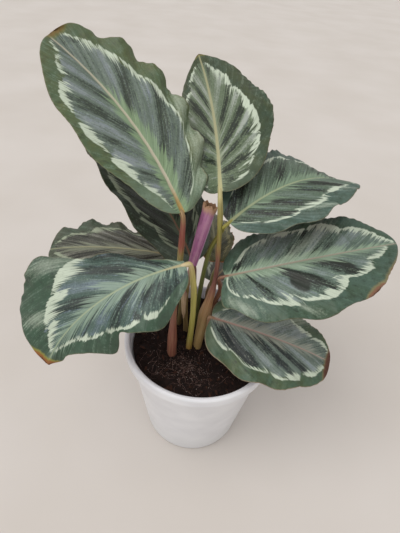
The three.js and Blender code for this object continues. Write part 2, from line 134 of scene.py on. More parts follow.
COLUMN_CROWDING = 0.6

# Stalks
JOINT_GAP = 0.7
STALK_SIDES = 30
STALK_STEPS = 110
UNDER_STEPS = 10
UNDER_LENGTH = 9
UNDER_RADIUS = 0.6
UNDER_CLEARANCE = 0.35

# Every open leaf. Angles in degrees, lengths in millimetres, and pairs are [left, right].
# joint, heading, sweep, rise, droop, roll and twist: where the blade starts and how its midrib runs.
# fold and arch: slope of each half at the midrib, and how far it falls by the edge.
# peak, skew, tip_power, lopside and lobe: the outline. waves: height, number and start of the edge's waves.
# bumps: places where the edge stands out or in, as (side, place along the blade, height, spread).
# stem, lead and radii: the stalk's route, its straight end and its radius at even steps.
# flames: the strokes that make up the pale ring, each from the tip's end to the base's end, as points
# (place along the leaf, place across it, width of the stroke) in millimetres on the leaf laid flat.
# core: half width of the pale zone along the midrib, from the stalk to the tip.
# What a leaf in LEAVES doesn't name it takes from PLAIN_LEAF.
PLAIN_LEAF = dict(skew=0, lopside=0, lobe=0.02, bumps=[], flames=[])
LEAVES = [
    dict(
        name="upper_left", joint=[-20, -9, 246],
        heading=126, sweep=37, rise=36, droop=8, roll=13, twist=-31,
        length=153, width=90, fold=[10, 12], arch=[8, 5], tip_power=[0.52, 0.43], peak=0.485, skew=0.02,
        lopside=-0.01, waves=[[1.8, 2.8, 0.4], [3.9, 5.9, 0.58]], lead=2,
        bumps=[(1, 0.985, 2.5, 0.025)],
        stem=[[-22, -16, 108], [-22, -12, 160], [-19.7, -9, 208]], radii=[4, 2.4, 1.8, 2.3, 1.7],
        flames=[
            [(148, -3, 2.5), (140, -5, 3)], [(136, -9, 4.5), (129, -14, 6.5), (121, -18, 4)],
            [(115, -24, 6), (105, -30, 7.5), (91, -35, 2.5)], [(79, -36, 7.5), (68, -36, 9), (53, -32, 1.8)],
            [(48, -31, 7), (41, -28, 8.5), (24, -22, 2)], [(25, -20, 5), (18, -15, 5.5), (5, -7, 1.2)],
            [(148, 8, 2.3), (138, 13, 2.6)], [(136, 13, 5.5), (130, 15, 7.5), (126, 17, 5)],
            [(128, 19, 6), (122, 20, 7.5), (116, 22, 4.5)], [(118, 22, 6), (110, 23, 6.5), (96, 29, 4)],
            [(94, 30, 4.5), (85, 31, 5), (75, 34, 3.4), (63, 33, 2.6)],
            [(60, 33, 2.4), (46, 29, 3.2), (33, 23, 2.2), (20, 18, 2.2), (11, 11, 1.4)],
        ],
        core=[[6, 8, 6, 1, 0], [6, 9, 7, 1, 0]],
    ),
    dict(
        name="upper_middle", joint=[3, 5, 257],
        heading=97, sweep=13, rise=28, droop=8, roll=-14, twist=-4,
        length=136, width=81, fold=[-31, -2], arch=[14, 20], tip_power=[0.71, 0.76], peak=0.51,
        lopside=0.1, waves=[[2.2, 3.9, 0], [2.7, 2.9, 0.03]], lead=6,
        bumps=[(-1, 0.87, 6, 0.09)],
        stem=[[-1, -6, 108], [2.5, -3, 147], [7.5, -1, 188], [5.5, 3, 236]],
        radii=[3.7, 4.2, 5, 3.2, 1.8, 1.7, 1.7, 2, 1.6],
        flames=[
            [(126, -5, 3), (116, -14, 4.5)], [(107, -17, 5), (99, -22, 8), (87, -24, 3)],
            [(75, -27, 5), (64, -28, 5), (50, -26, 2)], [(46, -26, 5), (36, -24, 4), (22, -19, 1.8)],
            [(18, -17, 3), (6, -9, 1.2)],
            [(123, 3, 2.5), (113, 7, 4)], [(112, 8, 6), (104, 12, 9), (95, 15, 4)],
            [(93, 18, 5.5), (85, 21, 8.5), (77, 25, 7), (70, 25, 3)],
            [(71, 28, 5), (61, 29, 6), (54, 29, 8), (49, 25, 3)],
            [(48, 30, 5), (38, 27, 7), (31, 24, 4.5), (25, 19, 2)], [(26, 23, 3), (20, 18, 4.5), (16, 13, 2)],
            [(17, 19, 2.5), (12, 14, 3), (7, 8, 1.2)],
        ],
        core=[[2, 2.5, 3, 2, 0], [2, 3, 3, 2, 0]],
    ),
    dict(
        name="upper_right", joint=[12, 3, 235],
        heading=36.5, sweep=-5, rise=32.5, droop=68, roll=30, twist=-49,
        length=124, width=77, fold=[9, 9], arch=[10, 10], tip_power=[0.62, 0.85], peak=0.48,
        lopside=-0.01, waves=[[1.2, 5.2, 0.28], [1.9, 4.4, 0.98]], lead=5,
        bumps=[(-1, 0.66, 5.5, 0.1), (-1, 0.95, 4.5, 0.04), (1, 0.42, 2, 0.05)],
        stem=[[-5, 18, 108], [-4, 15, 150], [1, 11, 203], [8.5, 7, 226]], radii=[2.2, 2, 1.8, 1.7, 1.3],
        flames=[
            [(119, -3, 4), (112, -9, 4), (104, -14, 2)], [(98, -18, 3), (88, -23, 3), (78, -26, 2)],
            [(75, -27, 4), (62, -28, 5), (48, -25, 2.5)], [(45, -25, 3.5), (30, -22, 3), (12, -13, 1.2)],
            [(117, 3, 5), (110, 9, 5.5), (100, 15, 3)], [(94, 18, 3), (80, 21, 4.5), (64, 23, 2)],
            [(64, 27, 5), (54, 27, 5), (41, 23, 1.8)], [(42, 25, 3), (36, 24, 4), (27, 21, 3), (17, 16, 1.4)],
            [(16, 14, 2.2), (10, 9, 1.6), (4, 4, 1)],
        ],
        core=[[2, 5, 7, 4, 1], [3, 5, 4, 3, 1]],
    ),
    dict(
        name="middle_right", joint=[14, -7, 194],
        heading=0, sweep=27, rise=23, droop=27, roll=10, twist=18,
        length=135, width=84, fold=[2, 2], arch=[17, 17], tip_power=[0.48, 0.51], peak=0.38,
        lopside=0.05, lobe=0.09, waves=[[2.4, 3.15, 0.3], [3, 3.75, 0.86]], lead=4,
        bumps=[(1, 0.03, 5, 0.03)],
        stem=[[7, 6, 108], [8, 7, 145], [12.5, 1, 172]], radii=[2.2, 2, 1.9, 2, 1.3],
        flames=[
            [(132, -1, 3.2), (126, -4, 4.2), (120, -8, 4)],
            [(122, -5, 5.5), (114, -11, 9.5), (101, -18, 4.5), (96, -18, 3)],
            [(92, -17, 8), (85, -23, 9.5), (77, -27, 8.5), (70, -26, 4)],
            [(68, -26, 4.2), (56, -26, 4.8), (42, -27, 4)],
            [(36, -27, 6), (21, -21, 4.6), (11, -10, 2)],
            [(124, 1, 3), (114, 6, 5), (104, 8, 1.8)],
            [(105, 12, 9), (96, 17, 5), (86, 18, 2.2), (75, 17, 1.4)],
            [(83, 18, 4), (79, 22, 9), (69, 29, 7), (60, 30, 2.6), (52, 29, 2.2), (43, 24, 2)],
            [(48, 31, 5), (40, 29, 9), (32, 28, 5.5), (24, 24, 2.8), (17, 19, 1.6)],
            [(17, 21, 3), (9, 16, 2.6), (4, 8, 1.8), (3, 2, 1.4)],
        ],
        core=[[4, 7, 6, 4, 1], [4, 7, 5, 3, 1]],
    ),
    dict(
        name="lower_right", joint=[8, -13, 155],
        heading=-11.5, sweep=14, rise=-3, droop=28, roll=21, twist=4,
        length=106, width=71.5, fold=[5, 5], arch=[13, 13], tip_power=[0.45, 0.41], peak=0.415,
        lopside=0.095, lobe=0.08, waves=[[2.3, 2.8, 0.13], [2.5, 3.7, 0.36]], lead=1.5,
        stem=[[10, -8, 108], [9, -10, 130], [6.5, -12.5, 145]], radii=[2.2, 1.9, 1.8, 1.8, 1.5],
        flames=[
            [(102, -7, 3), (95, -11, 3.5), (86, -12, 2.6), (78, -12, 1.8)],
            [(81, -13, 4), (72, -15, 4.5), (61, -20, 2.6)],
            [(58, -22, 4), (44, -24, 3), (31, -21, 2)], [(29, -20, 3.5), (18, -15, 2.4), (8, -8, 1.3)],
            [(99, 5, 5), (90, 15, 5), (82, 18, 3)], [(79, 22, 7), (70, 26, 5), (60, 28, 3.4), (52, 26, 2.4)],
            [(51, 26, 7), (44, 28, 5), (37, 28, 2.8), (28, 23, 2), (18, 18, 1.4)],
            [(20, 21, 4), (15, 20, 3), (9, 15, 2), (4, 8, 1.3)],
        ],
        core=[[3, 6, 6, 4, 1], [3, 5, 5, 3, 1]],
    ),
    dict(
        name="front_left", joint=[-15, -19, 211],
        heading=207, sweep=5, rise=-2, droop=66, roll=-16, twist=-15,
        length=127, width=85, fold=[-5, 8], arch=[19, 9], tip_power=[0.99, 1.02], peak=0.53, skew=0.18,
        lopside=0.2, lobe=-0.02, waves=[[7, 2.45, 0.73], [4.8, 3.3, 0.63]], lead=3,
        bumps=[(-1, 0.64, 4.5, 0.055), (-1, 0.51, -4.5, 0.045), (-1, 0.93, 3.5, 0.05), (1, 0.63, 3, 0.035),
               (1, 0.85, 2, 0.04), (1, 0.97, 2, 0.03)],
        stem=[[-8, -9, 108], [-7, -14, 162], [-8.5, -17, 192]], radii=[2.6, 2.3, 2.2, 2.4, 1.9],
        flames=[
            [(113, -1, 2.4), (104, -4, 2.2), (95, -8, 2.6)],
            [(92, -9, 4), (86, -13, 5), (80, -16, 3.4), (74, -17, 1.8)],
            [(71, -18, 5), (64, -22, 4.4), (55, -27, 3.4), (46, -26, 2.4)],
            [(41, -24, 6), (36, -25, 5), (30, -24, 2.8), (18, -18, 1.6)],
            [(115, 1.5, 3), (107, 5, 6.5), (101, 8, 7.5), (95, 10, 4)],
            [(102, 14, 5), (96, 16, 9), (90, 19, 11), (83, 21, 8), (77, 20, 3)],
            [(84, 25, 7), (77, 27, 11), (70, 30, 11), (64, 35, 7), (56, 35, 3), (47, 29, 2)],
        ],
        core=[[4, 7, 7, 4, 1], [4, 6, 6, 4, 1]],
    ),
    dict(
        name="back_left", joint=[-23, 23, 184],
        heading=179, sweep=-2, rise=5, droop=23, roll=-4, twist=-10,
        length=112, width=58, fold=[8, 8], arch=[12, 12], tip_power=[0.5, 0.42], peak=0.66,
        waves=[[1.5, 3.4, 0.3], [3.2, 4.4, 0.73]], lead=3.5,
        bumps=[(1, 0.93, 3, 0.05)],
        stem=[[-20, 18, 108], [-19, 20, 150], [-19.5, 22, 177]], radii=[2.3, 2, 1.8, 2.1, 1.9],
        flames=[
            [(105, -4, 3), (94, -11, 3.5), (80, -15, 2)], [(78, -16, 4.5), (62, -19, 3), (43, -18, 1.8)],
            [(40, -17, 4), (22, -13, 2), (8, -6, 1.2)],
            [(107, 5, 3), (97, 12, 3.5), (80, 15, 3)], [(77, 14, 6), (68, 20, 7), (54, 19, 2.2)],
            [(50, 19, 4.5), (34, 16, 2.4), (12, 8, 1.2)],
        ],
        core=[[4, 6, 6, 5, 2], [3, 4, 4, 3, 1]],
    ),
    dict(
        name="shaded", joint=[-12, 20, 182],
        heading=137, sweep=13, rise=53, droop=58, roll=2, twist=5,
        length=145, width=80, fold=[11, 11], arch=[8, 8], tip_power=[0.6, 0.6], peak=0.43,
        waves=[[2, 3.6, 0.4], [2, 4, 0.1]], lead=4,
        stem=[[-8, 26, 108], [-9, 23, 140], [-10, 19.5, 168]], radii=[2.3, 2, 1.8, 2.2, 2],
        flames=[
            [(137, -5, 3), (122, -17, 3)], [(120, -18, 6), (106, -26, 4), (90, -29, 2.5)],
            [(88, -28, 8), (70, -31, 6), (52, -29, 3)], [(50, -28, 8), (40, -22, 4)],
            [(40, -20, 5), (30, -18, 9), (24, -16, 6), (15, -9, 2.4)],
            [(137, 5, 3), (120, 18, 4), (104, 26, 2.5)], [(102, 27, 6), (84, 30, 4), (66, 29, 2)],
            [(62, 29, 7), (48, 27, 5), (36, 22, 3.4)], [(34, 21, 7), (27, 15, 5), (12, 8, 2.4)],
        ],
        core=[[3, 5, 4, 2, 0], [3, 5, 4, 2, 0]],
    ),
    dict(
        name="rear", joint=[8, 27, 180],
        heading=100, sweep=-6, rise=14, droop=40, roll=4, twist=10,
        length=88, width=36, fold=[8, 8], arch=[16, 22], tip_power=[0.6, 0.6], peak=0.44,
        lobe=0.04, waves=[[1.8, 3.4, 0.2], [2, 3.4, 0.5]], lead=4,
        stem=[[4, 18, 108], [5, 20, 145], [6, 23, 168]], radii=[2.1, 1.8, 1.6, 1.9, 1.7],
        core=[[2, 3, 3, 2, 0], [2, 3, 3, 2, 0]],
    ),
    dict(
        name="rear_low", joint=[6, 36, 150],
        heading=62, sweep=8, rise=4, droop=40, roll=6, twist=0,
        length=66, width=40, fold=[-2, -2], arch=[18, 18], tip_power=[0.6, 0.6], peak=0.44,
        lobe=0.04, waves=[[1.2, 2.6, 0.3], [1.2, 2.8, 0.6]], lead=3,
        stem=[[2, 28, 108], [2.5, 30, 125], [3, 32, 142]], radii=[1.9, 1.6, 1.5, 1.7, 1.6],
        core=[[1, 2, 2, 1, 0], [1, 2, 2, 1, 0]],
    ),
]
LEAVES = [{**PLAIN_LEAF, **leaf} for leaf in LEAVES]

# Each leaf's colouring, with painted light in some of it: painted sheen, painted highlights and, on the
# shaded leaf, painted shade. What a leaf in LOOKS doesn't name it takes from LOOK.
# margin and margin_cool: the border outside the pale ring. dark, green and sheen: the bands inside it, the
# grey sheen bands being partly the leaf's own grey and partly a painted sheen, with patches and patchy as the
# size and strength of uneven ones. bluish_sheen and bluish_sheen_share: thin bluish streaks of painted sheen.
# pale: the ring, with ring_fill for how solid it is and jags for the length of its teeth.
# feather: the zone along the midrib, with spikes for the length of its feathers. midrib, joint and rib: the
# midrib, its end at the stalk and its half width. rim and rim_share: the blade's very edge.
# base and base_share: the foot of the blade, and streaks of the margin.
# slant: for the left and the right, how far the side veins lean to the tip at the base, how much more they
# do at the tip, and how much they curve. bands: stripes along the veins, as (side, place, half width,
# strength), where 1 is pale and -1 dark. spots (in spot_colour) and painted_highlights: dark patches, and
# pale patches of painted highlight that also lighten parts of the blade lying in shade, on the flat leaf as
# (place along, place across, half length, half width), in mm.
# dry: dry places on the edge as (place along, place across, half length, half width, depth), in dry_colour
# with dry_halo round them.
LOOK = dict(
    margin_cool="#49654d",
    bluish_sheen="#7c86a0",
    bluish_sheen_share=0.4,
    pale="#cad7c4",
    midrib="#a5a582",
    joint="#a8885c",
    rib=1.0,
    rim="#8a7f5c",
    rim_share=0.35,
    base="#7e9482",
    base_share=0.35,
    patches=9.0,
    patchy=0.85,
    jags=1.2,
    ring_fill=0.85,
    spikes=4.5,
    slant=[[0.5, 2.5, 0.3], [0.5, 2.5, 0.3]],
    bands=[],
    spots=[],
    spot_colour="#131a0f",
    painted_highlights=[],
    dry=[],
    dry_colour="#8a5a34",
    dry_halo="#84803c",
)
LOOKS = dict(
    upper_left=dict(
        margin="#58633a", margin_cool="#4f6447", dark="#303b31", green="#65746a", sheen="#8a9498",
        feather="#8ba67e", base_share=0.75, joint="#a98a4c", midrib="#c0b9a4", rib=1.5, patchy=0.5,
        bluish_sheen_share=0.65,
        slant=[[-0.6, 5.2, 0.3], [0.65, 2.9, 0.6]],
        bands=[
            (-1, 96, 7, 0.5), (-1, 82, 6, -0.6), (-1, 68, 5, 0.6), (-1, 56, 7, -0.7), (-1, 45, 4.5, 0.8),
            (-1, 37.5, 3, -0.6), (-1, 31, 3.5, 0.6), (-1, 24, 3.5, -0.5), (-1, 14, 5, 0.3),
            (1, 84, 5, 0.6), (1, 68, 8, -0.7), (1, 47, 6, 0.4), (1, 31, 5.5, -0.7), (1, 16, 5, 0.4),
        ],
        painted_highlights=[(38, 33, 40, 12), (70, 40, 24, 6)],
        dry=[(152, 6, 9, 9, 4.5)], dry_colour="#7a6434", dry_halo="#72703c",
    ),
    upper_middle=dict(
        margin="#3f4b2c", margin_cool="#374c3a", dark="#202b1f", green="#63745a", sheen="#a4ada4",
        feather="#909c80", base="#83917c", joint="#b5b284", midrib="#aeab84", rib=1.35, patchy=0.4,
        jags=1.8, ring_fill=0.88, spikes=3.0,
        slant=[[-0.6, 8.5, 0.15], [-1.0, 11, 0.6]],
        bands=[
            (-1, 79, 6, 1.1), (-1, 68, 4, -0.9), (-1, 59, 3.5, 0.9), (-1, 49, 4.5, -1.0), (-1, 41, 4.5, 0.6),
            (-1, 34, 3, -0.9), (-1, 29, 2.5, 0.4), (-1, 23, 3.5, -0.8), (-1, 14, 4, 0.3),
            (1, 92, 9, -0.9), (1, 65, 8, 0.6), (1, 46, 5.5, -0.8), (1, 38.5, 3, 0.7), (1, 32, 3, -0.9),
            (1, 27, 1.5, 1.2), (1, 23, 2.2, -0.8), (1, 20, 1.5, 0.6), (1, 16, 2, -0.7),
        ],
        dry=[(136, 0, 5, 5, 2.5)], dry_colour="#5f4630",
    ),
    upper_right=dict(
        margin="#41584a", margin_cool="#4a6258", dark="#161e17", green="#526654", sheen="#76877f",
        feather="#829a80", base="#6c8684", base_share=0.1, midrib="#9fab88", joint="#98a078", rib=0.85,
        patchy=0.45, spikes=6.0,
        slant=[[1.2, 0, -0.3], [1.0, 0.8, 0]],
        bands=[
            (-1, -2, 9, -0.9), (-1, 19, 1.5, 1.2), (-1, 29, 6, 0.5), (-1, 41, 4, -0.5), (-1, 52, 6, 0.4),
            (1, 11, 3.5, -0.8), (1, 17.5, 2.5, 0.4), (1, 24, 4, -0.9), (1, 34, 4, 0.6), (1, 46, 4, -0.6),
            (1, 59, 5, -0.8), (1, 70, 5, 0.5),
        ],
        painted_highlights=[(84, 25, 14, 5), (112, 8, 12, 10), (58, 33, 18, 4)],
    ),
    middle_right=dict(
        margin="#3e5540", margin_cool="#486154", dark="#19221c", green="#5e7266", sheen="#818f8f",
        feather="#9ab298", base="#5f7a68", midrib="#a3988a", joint="#9a8c78", rib=0.9, patchy=0.5,
        ring_fill=0.9, slant=[[0.6, 1.6, -0.1], [0.2, 4.4, 0.1]],
        bands=[
            (-1, 5, 5, -0.5), (-1, 24, 5, 0.9), (-1, 34, 4, 0.6), (-1, 43, 3.5, -0.3), (-1, 53, 5, 0.8),
            (-1, 64, 4, -0.2), (-1, 79, 9, 0.8), (1, 14, 2.5, -0.7), (1, 19, 2.5, 0.8), (1, 26, 3, 0.6),
            (1, 35, 4.5, -1.1), (1, 47, 4.5, 0.9), (1, 61, 5.5, -1.0), (1, 75, 5, 0.5),
        ],
        spots=[(51, 17, 8, 8), (84, 8, 11, 3.5)],
        painted_highlights=[(14, 28, 14, 8), (52, 36, 12, 4), (60, -38, 50, 9), (64, -13, 38, 10)],
        dry=[(103, 33, 9, 9, 4.6), (122, 20, 16, 14, 1.6)], dry_colour="#845c48", dry_halo="#8c8058",
    ),
    lower_right=dict(
        margin="#4c5c3a", margin_cool="#435e4c", dark="#1e2828", green="#65766c", sheen="#909d9c",
        feather="#9ca294", base="#6a7a60", midrib="#b5988f", joint="#98796b", rib=0.8, patchy=0.5,
        slant=[[0.6, 1.0, 0.3], [0.6, 3.6, 0.5]],
        bands=[
            (1, -4, 4, 0.3), (1, 8, 6, -0.75), (1, 18.5, 4, 0.7), (1, 28, 6, -0.8), (1, 36, 2, 0.7),
            (1, 43, 5.5, -0.75), (1, 60, 9, 0.5), (-1, 42, 34, 0.95), (-1, 30, 5, -0.3),
        ],
        painted_highlights=[(70, -24, 34, 10)], bluish_sheen_share=0.5, rim="#a89078", rim_share=0.6,
        dry=[(106, 4, 12, 15, 7)], dry_colour="#5a3224", dry_halo="#7a6a48",
    ),
    front_left=dict(
        margin="#3c5240", margin_cool="#395643", dark="#263330", green="#4b625a", sheen="#6c7d88",
        feather="#94ab98", midrib="#a8b594", joint="#bdb48c", rib=0.72, patchy=0.45, spikes=8.0, jags=1.6,
        bluish_sheen="#8492b4", bluish_sheen_share=0.7, ring_fill=1.0, base_share=0.2,
        slant=[[-0.2, 7.0, 0], [0.4, 2.5, 0.8]],
        bands=[
            (-1, 22, 2.5, -0.9), (-1, 27.5, 2.5, 0.4), (-1, 34, 3.5, -0.9), (-1, 45.5, 5, 0.9),
            (-1, 56, 4, -0.6), (1, 10, 4, -0.4), (1, 17, 3, 0.3), (1, 27, 5.5, -1.0), (1, 45, 7, 1.0),
            (1, 64, 7, -0.9), (1, 80, 5, 0.6),
        ],
        painted_highlights=[(76, 42, 20, 9), (104, 22, 14, 9)],
        dry=[(126, 2, 10, 14, 4.4)], dry_colour="#94582c", dry_halo="#a09a3e",
    ),
    back_left=dict(
        margin="#4b5240", margin_cool="#475645", dark="#24251f", green="#4e5046", sheen="#86877c",
        feather="#8a917c", pale="#a5b098", patches=7.0, patchy=1.3, jags=2.0, spikes=5.0,
        bands=[(-1, 20, 8, -0.7), (-1, 36, 6, 0.8), (-1, 52, 7, -0.8), (-1, 66, 6, 0.6), (-1, 80, 6, -0.6)],
        slant=[[1.8, 2.5, 0.3], [1.8, 2.5, 0.3]],
    ),
    # The shaded leaf's colours are darkened all over: painted shade, for it lies under the leaves above it
    shaded=dict(
        margin="#2c3824", margin_cool="#2c3c2c", dark="#161b12", green="#2a3428", sheen="#485048",
        pale="#96a48c", feather="#5a6c52", midrib="#8a6a54", joint="#8a6048",
    ),
    rear=dict(
        margin="#6c6a36", margin_cool="#4c5438", dark="#2e3422", green="#56583a", sheen="#72744e",
        pale="#9a9868", feather="#7c7e50", rim="#b06a38", rim_share=0.9, base="#7a7440", bluish_sheen_share=0.1,
    ),
    rear_low=dict(margin="#6a6a5c", dark="#4c4c40", green="#62645a", sheen="#7c7a72", feather="#77786a"),
)


# Nodes

def tone(code):
    """Linear colour of a written one such as #40583f."""
    values = [int(code[i:i + 2], 16) / 255 for i in (1, 3, 5)]
    linear = [v / 12.92 if v <= 0.04045 else ((v + 0.055) / 1.055) ** 2.4 for v in values]
    return (*linear, 1.0)


class Field:
    """A number that changes over the surface. Arithmetic on it adds the nodes that work it out."""

    def __init__(self, surface, socket):
        self.surface = surface
        self.socket = socket

    def __add__(self, other):
        return self.surface.math("ADD", self, other)

    __radd__ = __add__

    def __sub__(self, other):
        return self.surface.math("SUBTRACT", self, other)

    def __rsub__(self, other):
        return self.surface.math("SUBTRACT", other, self)

    def __mul__(self, other):
        return self.surface.math("MULTIPLY", self, other)

    __rmul__ = __mul__

    def __truediv__(self, other):
        return self.surface.math("DIVIDE", self, other)

    def __abs__(self):
        return self.surface.math("ABSOLUTE", self)

    def floor(self):
        return self.surface.math("FLOOR", self)

    def fraction(self):
        return self.surface.math("FRACT", self)

    def smooth(self, low, high):
        """0 at low and 1 at high, and the other way round where high is the smaller."""
        node = self.surface.node("ShaderNodeMapRange", interpolation_type="SMOOTHSTEP")
        self.surface.feed(node.inputs["Value"], self)
        self.surface.feed(node.inputs["From Min"], low)
        self.surface.feed(node.inputs["From Max"], high)
        return Field(self.surface, node.outputs["Result"])


class Surface:
    """One material: its shader, and short ways to build what feeds it."""

    def __init__(self, name):
        self.material = bpy.data.materials.new(name)
        self.material.use_nodes = True
        self.tree = self.material.node_tree
        self.shader = self.tree.nodes["Principled BSDF"]

    def node(self, kind, **settings):
        node = self.tree.nodes.new(kind)
        for key, value in settings.items():
            setattr(node, key, value)
        return node

    def feed(self, socket, value):
        """Links a field to the socket, or sets the socket to a number or a written colour."""
        if isinstance(value, Field):
            self.tree.links.new(value.socket, socket)
        else:
            socket.default_value = tone(value) if isinstance(value, str) else value

    def math(self, operation, *values):
        node = self.node("ShaderNodeMath", operation=operation)
        for socket, value in zip(node.inputs, values):
            self.feed(socket, value)
        return Field(self, node.outputs[0])

    def attributes(self, names):
        """Fields that are stored on the mesh, from their names with spaces between."""
        nodes = [self.node("ShaderNodeAttribute", attribute_name=name) for name in names.split()]
        return [Field(self, node.outputs["Fac"]) for node in nodes]

    def place(self):
        """The three coordinates of the point on the piece, in millimetres."""
        split = self.node("ShaderNodeSeparateXYZ")
        coordinates = self.node("ShaderNodeTexCoord")
        self.tree.links.new(coordinates.outputs["Object"], split.inputs[0])
        return [Field(self, socket) * (1 / MM) for socket in split.outputs]

    def spot(self, *values):
        node = self.node("ShaderNodeCombineXYZ")
        for socket, value in zip(node.inputs, values):
            self.feed(socket, value)
        return Field(self, node.outputs[0])

    def noise(self, x, y, z, detail=2.0, roughness=0.5):
        """Smooth noise from about -1 to 1, with features one unit of x, y and z apart."""
        node = self.node("ShaderNodeTexNoise")
        self.feed(node.inputs["Vector"], self.spot(x, y, z))
        for key, value in (("Scale", 1.0), ("Detail", detail), ("Roughness", roughness)):
            node.inputs[key].default_value = value
        return (Field(self, node.outputs[0]) - 0.5) * 3.0

    def dice(self, x, y):
        """A value from -1 to 1 that is the same all over each whole step of x and y."""
        node = self.node("ShaderNodeTexWhiteNoise", noise_dimensions="3D")
        self.feed(node.inputs["Vector"], self.spot(x.floor(), y.floor()))
        return (Field(self, node.outputs["Value"]) - 0.5) * 2.0

    def layers(self, colour, *layers):
        """Colours laid over the first one in turn, as pairs of an amount from 0 to 1 and a colour."""
        for amount, laid in layers:
            node = self.node("ShaderNodeMix", data_type="RGBA", clamp_factor=True)
            for number, value in ((0, amount), (6, colour), (7, laid)):
                self.feed(node.inputs[number], value)
            colour = Field(self, node.outputs[2])
        return colour

    def ramp(self, factor, stops):
        """Colours at given places from 0 to 1."""
        node = self.node("ShaderNodeValToRGB")
        self.feed(node.inputs[0], factor)
        elements = node.color_ramp.elements
        while len(elements) < len(stops):
            elements.new(0.5)
        for element, (position, code) in zip(elements, stops):
            element.position = position
            element.color = tone(code)
        return Field(self, node.outputs[0])

    def finish(self, colour, roughness, height=None, relief=0.1, **sockets):
        """Feeds the shader, with bumps up to relief millimetres high."""
        self.feed(self.shader.inputs["Base Color"], colour)
        self.feed(self.shader.inputs["Roughness"], roughness)
        for name, value in sockets.items():
            self.shader.inputs[name.replace("_", " ")].default_value = value
        if height is not None:
            bump = self.node("ShaderNodeBump")
            self.feed(bump.inputs["Height"], height)
            bump.inputs["Distance"].default_value = relief * MM
            self.tree.links.new(bump.outputs[0], self.shader.inputs["Normal"])
        return self.material


# Meshes

def add_object(name, data):
    thing = bpy.data.objects.new(name, data)
    bpy.context.scene.collection.objects.link(thing)
    return thing


def mesh_piece(name, points, faces, materials, smooth=True, slots=None, fields=None, uv=None):
    """A piece from its points in millimetres and its faces, all with the same number of corners."""
    faces = np.asarray(faces, dtype=np.int32)
    mesh = bpy.data.meshes.new(name)
    mesh.vertices.add(len(points))
    mesh.vertices.foreach_set("co", (np.asarray(points, dtype=np.float32) * MM).ravel())
    mesh.loops.add(faces.size)
    mesh.loops.foreach_set("vertex_index", faces.ravel())
    mesh.polygons.add(len(faces))
    mesh.polygons.foreach_set("loop_start", np.arange(0, faces.size, faces.shape[1], dtype=np.int32))
    mesh.update(calc_edges=True)
    mesh.polygons.foreach_set("use_smooth", np.full(len(faces), smooth))
    for material in materials:
        mesh.materials.append(material)
    if slots is not None:
        mesh.polygons.foreach_set("material_index", np.asarray(slots, dtype=np.int32))
    for key, values in (fields or {}).items():
        attribute = mesh.attributes.new(key, "FLOAT", "POINT")
        attribute.data.foreach_set("value", np.asarray(values, dtype=np.float32).ravel())
    if uv is not None:
        layer = mesh.uv_layers.new(name="OFBake")
        layer.data.foreach_set("uv", np.asarray(uv, dtype=np.float32).ravel())
    mesh.update()
    piece = add_object(name, mesh)
    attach(piece, BODY)
    return piece


def quads(index):
    """Faces of a sheet from the numbers of its points in rows and columns."""
    return np.stack([index[:-1, :-1], index[:-1, 1:], index[1:, 1:], index[1:, :-1]], axis=-1).reshape(-1, 4)


def round_walls(index):
    """Faces between rings of points, from the numbers of the points with one row for each ring."""
    after = np.roll(index, -1, axis=1)
    return np.stack([index[:-1], after[:-1], after[1:], index[1:]], axis=-1).reshape(-1, 4)


def closed_rings(steps, sides):
    """Faces of a body of rings of points, with two more points after them as its ends."""
    index = np.arange(steps * sides).reshape(steps, sides)
    caps = []
    for j in range(0, sides, 2):
        corners = [j, j + 1, (j + 2) % sides]
        caps.append([steps * sides, *index[0, corners[::-1]]])
        caps.append([steps * sides + 1, *index[-1, corners]])
    return np.vstack([round_walls(index), caps])


def lerp(a, b, t):
    return a + (b - a) * t


def smooth_step(value, low, high):
    t = np.clip((value - low) / (high - low), 0, 1)
    return t * t * (3 - 2 * t)


def evenly(values, u):
    """Reads a short list of values at even steps, with soft turns between them."""
    values = np.asarray(values, dtype=float)
    place = np.clip(u, 0, 1) * (len(values) - 1)
    index = np.minimum(np.floor(place).astype(int), len(values) - 2)
    return lerp(values[index], values[index + 1], smooth_step(place - index, 0, 1))


def by_side(side, pair):
    """The left's value where side is -1, and the right's where it is 1."""
    return np.where(side < 0, pair[0], pair[1])


def ring_turns(count):
    return np.linspace(0, 2 * np.pi, count, endpoint=False)


def unit(vectors):
    return vectors / np.linalg.norm(vectors, axis=-1, keepdims=True)


def read_path(path, steps, place):
    """Points of a path at places between its steps."""
    return np.stack([np.interp(place, steps, path[:, k]) for k in range(3)], axis=-1)


def smooth_route(points, count):
    """Even places on a centripetal Catmull-Rom curve through the points."""
    points = np.array(points, dtype=float)
    ends = [2 * points[0] - points[1], *points, 2 * points[-1] - points[-2]]
    places = []
    for i in range(len(points) - 1):
        p0, p1, p2, p3 = ends[i:i + 4]
        d0, d1, d2 = (max(np.linalg.norm(b - a), 1e-4) ** 0.5 for a, b in ((p0, p1), (p1, p2), (p2, p3)))
        t1 = ((p1 - p0) / d0 - (p2 - p0) / (d0 + d1) + (p2 - p1) / d1) * d1
        t2 = ((p2 - p1) / d1 - (p3 - p1) / (d1 + d2) + (p3 - p2) / d2) * d1
        for t in np.linspace(0, 1, 60, endpoint=False):
            bend = (-3 * p1 + 3 * p2 - 2 * t1 - t2) * t ** 2 + (2 * p1 - 2 * p2 + t1 + t2) * t ** 3
            places.append(p1 + t1 * t + bend)
    places.append(points[-1])
    places = np.array(places)
    travelled = np.concatenate([[0], np.cumsum(np.linalg.norm(np.diff(places, axis=0), axis=1))])
    return read_path(places, travelled, np.linspace(0, travelled[-1], count))


# The blade's form

